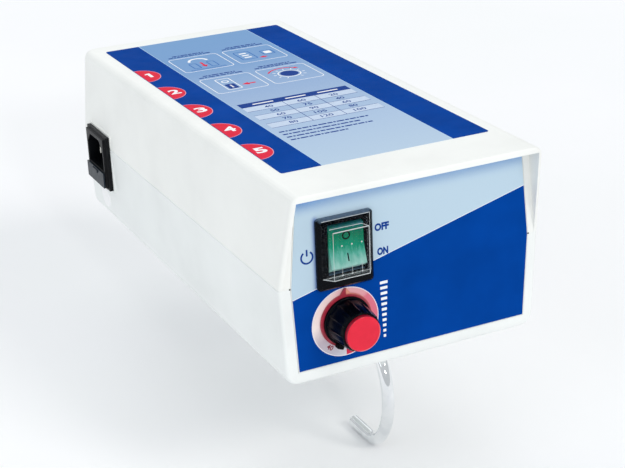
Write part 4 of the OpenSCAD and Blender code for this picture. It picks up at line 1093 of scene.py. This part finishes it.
class PUMP_OT_dial(bpy.types.Operator):
    """Prints the dial's two end numbers"""
    bl_idname = "pump.dial"
    bl_label = "Dial"

    def execute(self, context):
        scale = Ink(face((KNOB_AXIS.x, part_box("dial_plate")[0].y, KNOB_AXIS.z)), 0.04)
        scale.words("40", (-7.9, -11.7), 2.4, 3.2, turn=-34, weight=0.02)
        scale.words("100", (7.9, -11.7), 2.2, 4.2, turn=34, weight=0.006)
        scale.printed("dial_numbers", "maroon_ink", "dial_film")
        return {"FINISHED"}


class PUMP_OT_inlet(bpy.types.Operator):
    """Rounds the mains inlet, its pins and the fuse drawer"""
    bl_idname = "pump.inlet"
    bl_label = "Mains inlet"

    def execute(self, context):
        softened("inlet_moulding", "inlet_body", 0.5 * MM, 3)
        softened("inlet_pin_set", "inlet_pins", 0.5 * MM, 3)
        softened("fuse_drawer_moulding", "fuse_drawer", 0.3 * MM, 3, finish=FINISHES["drawer_face"])
        return {"FINISHED"}


class PUMP_OT_hook(bpy.types.Operator):
    """Sweeps the chromed hook along its bends and rounds its collars and bearings"""
    bl_idname = "pump.hook"
    bl_label = "Bed hook"

    def execute(self, context):
        tree = Tree("rod_sweep", Radius=half_width("hook_rod"), Sides=context.scene.pump_hook.sides,
                    Material=FINISHES["hook_chrome"])
        source = tree.source
        section = tree.node("GeometryNodeCurvePrimitiveCircle",
                            {"Resolution": source["Sides"], "Radius": source["Radius"]}, mode="RADIUS")
        rod = tree.node("GeometryNodeCurveToMesh",
                        {"Curve": source["Geometry"], "Profile Curve": section, "Fill Caps": True})
        fitted(tree.run(rod, self.route(), "hook_rod_sweep"), "hook", "hook_chrome", replaces=("hook_rod",),
               angle=50)
        softened("hook_collar_set", "hook_collars", 0.4 * MM, 2)
        softened("hook_bearing_set", "hook_bearings", 0.5 * MM, 2)
        return {"FINISHED"}

    def route(self):
        """The rod's centre line: straight arm, large bend, tighter bend and straight end, ends eased."""
        lo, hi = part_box("hook_rod")
        big, tight, turn, end = 34.6 * MM, 14.5 * MM, math.radians(131), 17 * MM
        x, top = (lo.x + hi.x) / 2, hi.z - half_width("hook_rod")
        bend_y = hi.y - 78 * MM
        points = [(hi.y, top, 0.93), (hi.y - 0.5 * MM, top, 1.0)]
        for i in range(33):
            a = turn * i / 32
            points.append((bend_y - big * math.sin(a), top + big * (math.cos(a) - 1), 1.0))
        cy, cz = bend_y - (big - tight) * math.sin(turn), top - big + (big - tight) * math.cos(turn)
        for i in range(1, 15):
            a = turn + (math.pi - turn) * i / 14
            points.append((cy - tight * math.sin(a), cz + tight * math.cos(a), 1.0))
        y, z, _ = points[-1]
        for along, size in ((end - 1.1 * MM, 1.0), (end - 0.6 * MM, 0.97), (end - 0.25 * MM, 0.9), (end, 0.8)):
            points.append((y + along, z, size))
        curve = bpy.data.curves.new("hook_route", "CURVE")
        curve.dimensions = "3D"
        spline = curve.splines.new("POLY")
        spline.points.add(len(points) - 1)
        for point, (py, pz, size) in zip(spline.points, points):
            point.co = (x, py, pz, 1)
            point.radius = size
        return new_object("hook_route", curve)


class PUMP_OT_fasteners(bpy.types.Operator):
    """Sets out the pan-head screws and the rubber feet"""
    bl_idname = "pump.fasteners"
    bl_label = "Screws and feet"

    def execute(self, context):
        for node in ("case_screws", "foot_screws", "bearing_screws"):
            set_out(node, node + "_set", "screw_steel", self.screw)
        set_out("rubber_feet", "rubber_foot_set", "foot_rubber", self.foot)
        return {"FINISHED"}

    def screw(self, _wide, _deep, tall):
        """A pan-head screw, head down, with a cross recess and a thread."""
        head_r, head_t, shank = 3.4, 2.4, 1.5
        pitch, root = 0.5, shank - 0.28
        thread = [(shank if i % 2 else root, head_t + 0.6 + pitch * i)
                  for i in range(int((tall - head_t - 1.5) / pitch))]
        profile = ([(0, 0), (head_r * 0.55, 0.02)] + rounded_corner(head_r - 1.2, 1.2, 1.2, -80, 0, 5)
                   + [(head_r, head_t - 0.1), (head_r - 0.1, head_t), (shank, head_t)] + thread
                   + [(shank - 0.3, tall - 0.9), (0.2, tall), (0, tall)])
        body = from_bmesh("screw_shape", turned(profile, 32, IN_MM))
        cross = Ink(Matrix.Translation((0, 0, -MM)) @ IN_MM, 2.3)
        arm, web = 1.8, 0.42
        cross.shape([(web, web), (web, arm), (-web, arm), (-web, web), (-arm, web), (-arm, -web), (-web, -web),
                     (-web, -arm), (web, -arm), (web, -web), (arm, -web), (arm, web)])
        cutter = from_bmesh("screw_cross", cross.bm)
        cut = body.modifiers.new("Cross recess", "BOOLEAN")
        cut.object, cut.solver = cutter, "EXACT"
        body = baked(body, "screw_shape")
        bpy.data.objects.remove(cutter)
        return body

    def foot(self, wide, _deep, tall):
        """A tapered rubber foot with a rounded sole and a recess for its screw."""
        r, hole, recess = wide / 2, 1.55, 3.9
        profile = ([(hole, tall / 2), (recess, tall / 2), (recess, 0.4), (recess + 0.4, 0)]
                   + rounded_corner(r - 2.6, 1.4, 1.4, -90, -10, 6)
                   + [(r - 1, 2.6), (r - 0.3, tall - 0.5), (r, tall), (hole, tall), (hole, tall / 2)])
        return from_bmesh("foot_shape", turned(profile, 56, IN_MM))


class PUMP_OT_outlets(bpy.types.Operator):
    """Turns the two barbed hose stems on the rear panel"""
    bl_idname = "pump.outlets"
    bl_label = "Air outlets"

    def execute(self, context):
        set_out("outlet_nozzles", "outlet_nozzle_set", "nozzle_plastic", self.nozzle, 1, 0.0)
        return {"FINISHED"}

    def nozzle(self, _wide, end, _tall):
        """A stem through the panel with a flange, and two barbs before its mouth."""
        stem, flange, bore, back = 3.2, 7.5, 1.8, 14.0
        profile = ([(bore, 0), (4.5, 0), (4.8, 0.4), (4.8, back), (flange, back)]
                   + rounded_corner(flange - 0.5, back + 1.5, 0.5, 0, 90, 3)
                   + rounded_corner(stem + 0.8, back + 2.8, 0.8, 270, 180, 4)
                   + [(stem, end - 8), (stem + 0.75, end - 8.05), (stem + 0.9, end - 7.7), (stem + 0.1, end - 4.5),
                      (stem + 0.65, end - 4.5), (stem + 0.8, end - 4.2), (stem - 0.35, end - 0.2),
                      (stem - 0.6, end), (bore + 0.2, end), (bore, end - 0.2), (bore, 0)])
        turn = Matrix.Rotation(math.radians(-90), 4, "X")
        return from_bmesh("nozzle_shape", turned(profile, 48, turn @ IN_MM))


class PUMP_OT_stage(bpy.types.Operator):
    """Sets the pale floor, the soft studio lights and the camera"""
    bl_idname = "pump.stage"
    bl_label = "Stage"

    def execute(self, context):
        scene = context.scene
        self.floor()
        self.lights(scene)
        self.camera(scene)
        scene.view_settings.view_transform = "Standard"
        scene.view_settings.look = "None"
        return {"FINISHED"}

    def floor(self):
        lo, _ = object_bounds()
        bm = bmesh.new()
        bmesh.ops.create_circle(bm, cap_ends=True, segments=96, radius=6,
                                matrix=Matrix.Translation((0, 0, lo[2] - 0.4 * MM)))
        floor = from_bmesh("floor", bm, None)
        f = Finish("floor_paper", Roughness=0.9, Specular_IOR_Level=0.0)
        f.paint(f.ramp(f.noise(400, 4.0), {0.3: "#F9FAFA", 0.5: "#FBFBFC", 0.7: "#FDFDFD"}))
        floor.data.materials.append(f.material)
        floor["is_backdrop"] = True

    def lights(self, scene):
        """Even air, and five suns: way to each, strength, softness in degrees and tint."""
        world = bpy.data.worlds.new("studio_air")
        world.use_nodes = True
        sky = world.node_tree.nodes["Background"]
        sky.inputs["Color"].default_value = linear("#F4F8FC")
        sky.inputs["Strength"].default_value = 0.66
        scene.world = world
        for name, away, strength, softness, tint in (
                ("key_light", (0.45, -1.0, 0.8), 0.7, 16, "#FFFBF6"),
                ("front_light", (-0.1, -0.94, 0.35), 0.3, 4, "#FFFFFF"),
                ("side_light", (-0.9, -0.3, 0.6), 0.35, 40, "#F2F8FF"),
                ("rear_light", (0.3, 1.0, 0.8), 0.35, 40, "#FFFFFF"),
                ("top_light", (0.0, 0.1, 1.0), 0.34, 50, "#FFFFFC")):
            lamp = bpy.data.lights.new(name, "SUN")
            lamp.energy, lamp.angle, lamp.color = strength, math.radians(softness), linear(tint)[:3]
            obj = new_object(name, lamp)
            obj.matrix_world = Vector(away).to_track_quat("Z", "Y").to_matrix().to_4x4()

    def camera(self, scene):
        """The camera that was worked out from the housing's edges."""
        photo_width, focal_pixels = 625, 1517.71
        azimuth, elevation, roll = (math.radians(a) for a in (-25.1921, 22.3158, -2.4520))
        distance, aside, above = 0.730819, -0.008816, -0.014407
        target = Vector((0, -0.052, 0.0464))
        back = Vector((math.sin(azimuth) * math.cos(elevation), -math.cos(azimuth) * math.cos(elevation),
                       math.sin(elevation)))
        right = (-back).cross(Vector((0, 0, 1))).normalized()
        up = right.cross(-back)
        across = math.cos(roll) * right + math.sin(roll) * up
        upright = -math.sin(roll) * right + math.cos(roll) * up
        lens = bpy.data.cameras.new("photo_camera")
        lens.sensor_fit, lens.sensor_width = "HORIZONTAL", 36
        lens.lens = focal_pixels / photo_width * 36
        lens.clip_start, lens.clip_end = 0.01, 50
        camera = new_object("photo_camera", lens)
        place = target + back * distance + across * aside + upright * above
        camera.matrix_world = Matrix.Translation(place) @ Matrix((across, upright, back)).transposed().to_4x4()
        scene.camera = camera


class PUMP_PT_sidebar(bpy.types.Panel):
    """Lists the pump's pieces and the sizes and colours to change"""
    bl_label = "Air Pump"
    bl_idname = "PUMP_PT_sidebar"
    bl_space_type = "VIEW_3D"
    bl_region_type = "UI"
    bl_category = "Air Pump"

    def draw(self, context):
        for name, group in GROUPS.items():
            box = self.layout.box()
            box.label(text=group.__name__)
            for field in group.__annotations__:
                box.prop(getattr(context.scene, name), field)
        for operator in OPERATORS:
            self.layout.operator(operator.bl_idname)


GROUPS = {"pump_housing": HousingLook, "pump_labels": LabelLook, "pump_controls": ControlLook,
          "pump_hook": HookLook}
OPERATORS = (PUMP_OT_finishes, PUMP_OT_stage, PUMP_OT_housing, PUMP_OT_front_label, PUMP_OT_top_label,
             PUMP_OT_switch, PUMP_OT_knob, PUMP_OT_dial, PUMP_OT_inlet, PUMP_OT_hook, PUMP_OT_fasteners,
             PUMP_OT_outlets)


def register():
    for cls in (*GROUPS.values(), *OPERATORS, PUMP_PT_sidebar):
        bpy.utils.register_class(cls)
    for name, group in GROUPS.items():
        setattr(bpy.types.Scene, name, PointerProperty(type=group))


def unregister():
    for name in GROUPS:
        delattr(bpy.types.Scene, name)
    for cls in reversed((*GROUPS.values(), *OPERATORS, PUMP_PT_sidebar)):
        bpy.utils.unregister_class(cls)


def main():
    register()
    for operator in OPERATORS:
        family, name = operator.bl_idname.split(".")
        getattr(getattr(bpy.ops, family), name)()


if __name__ == "__main__":
    main()
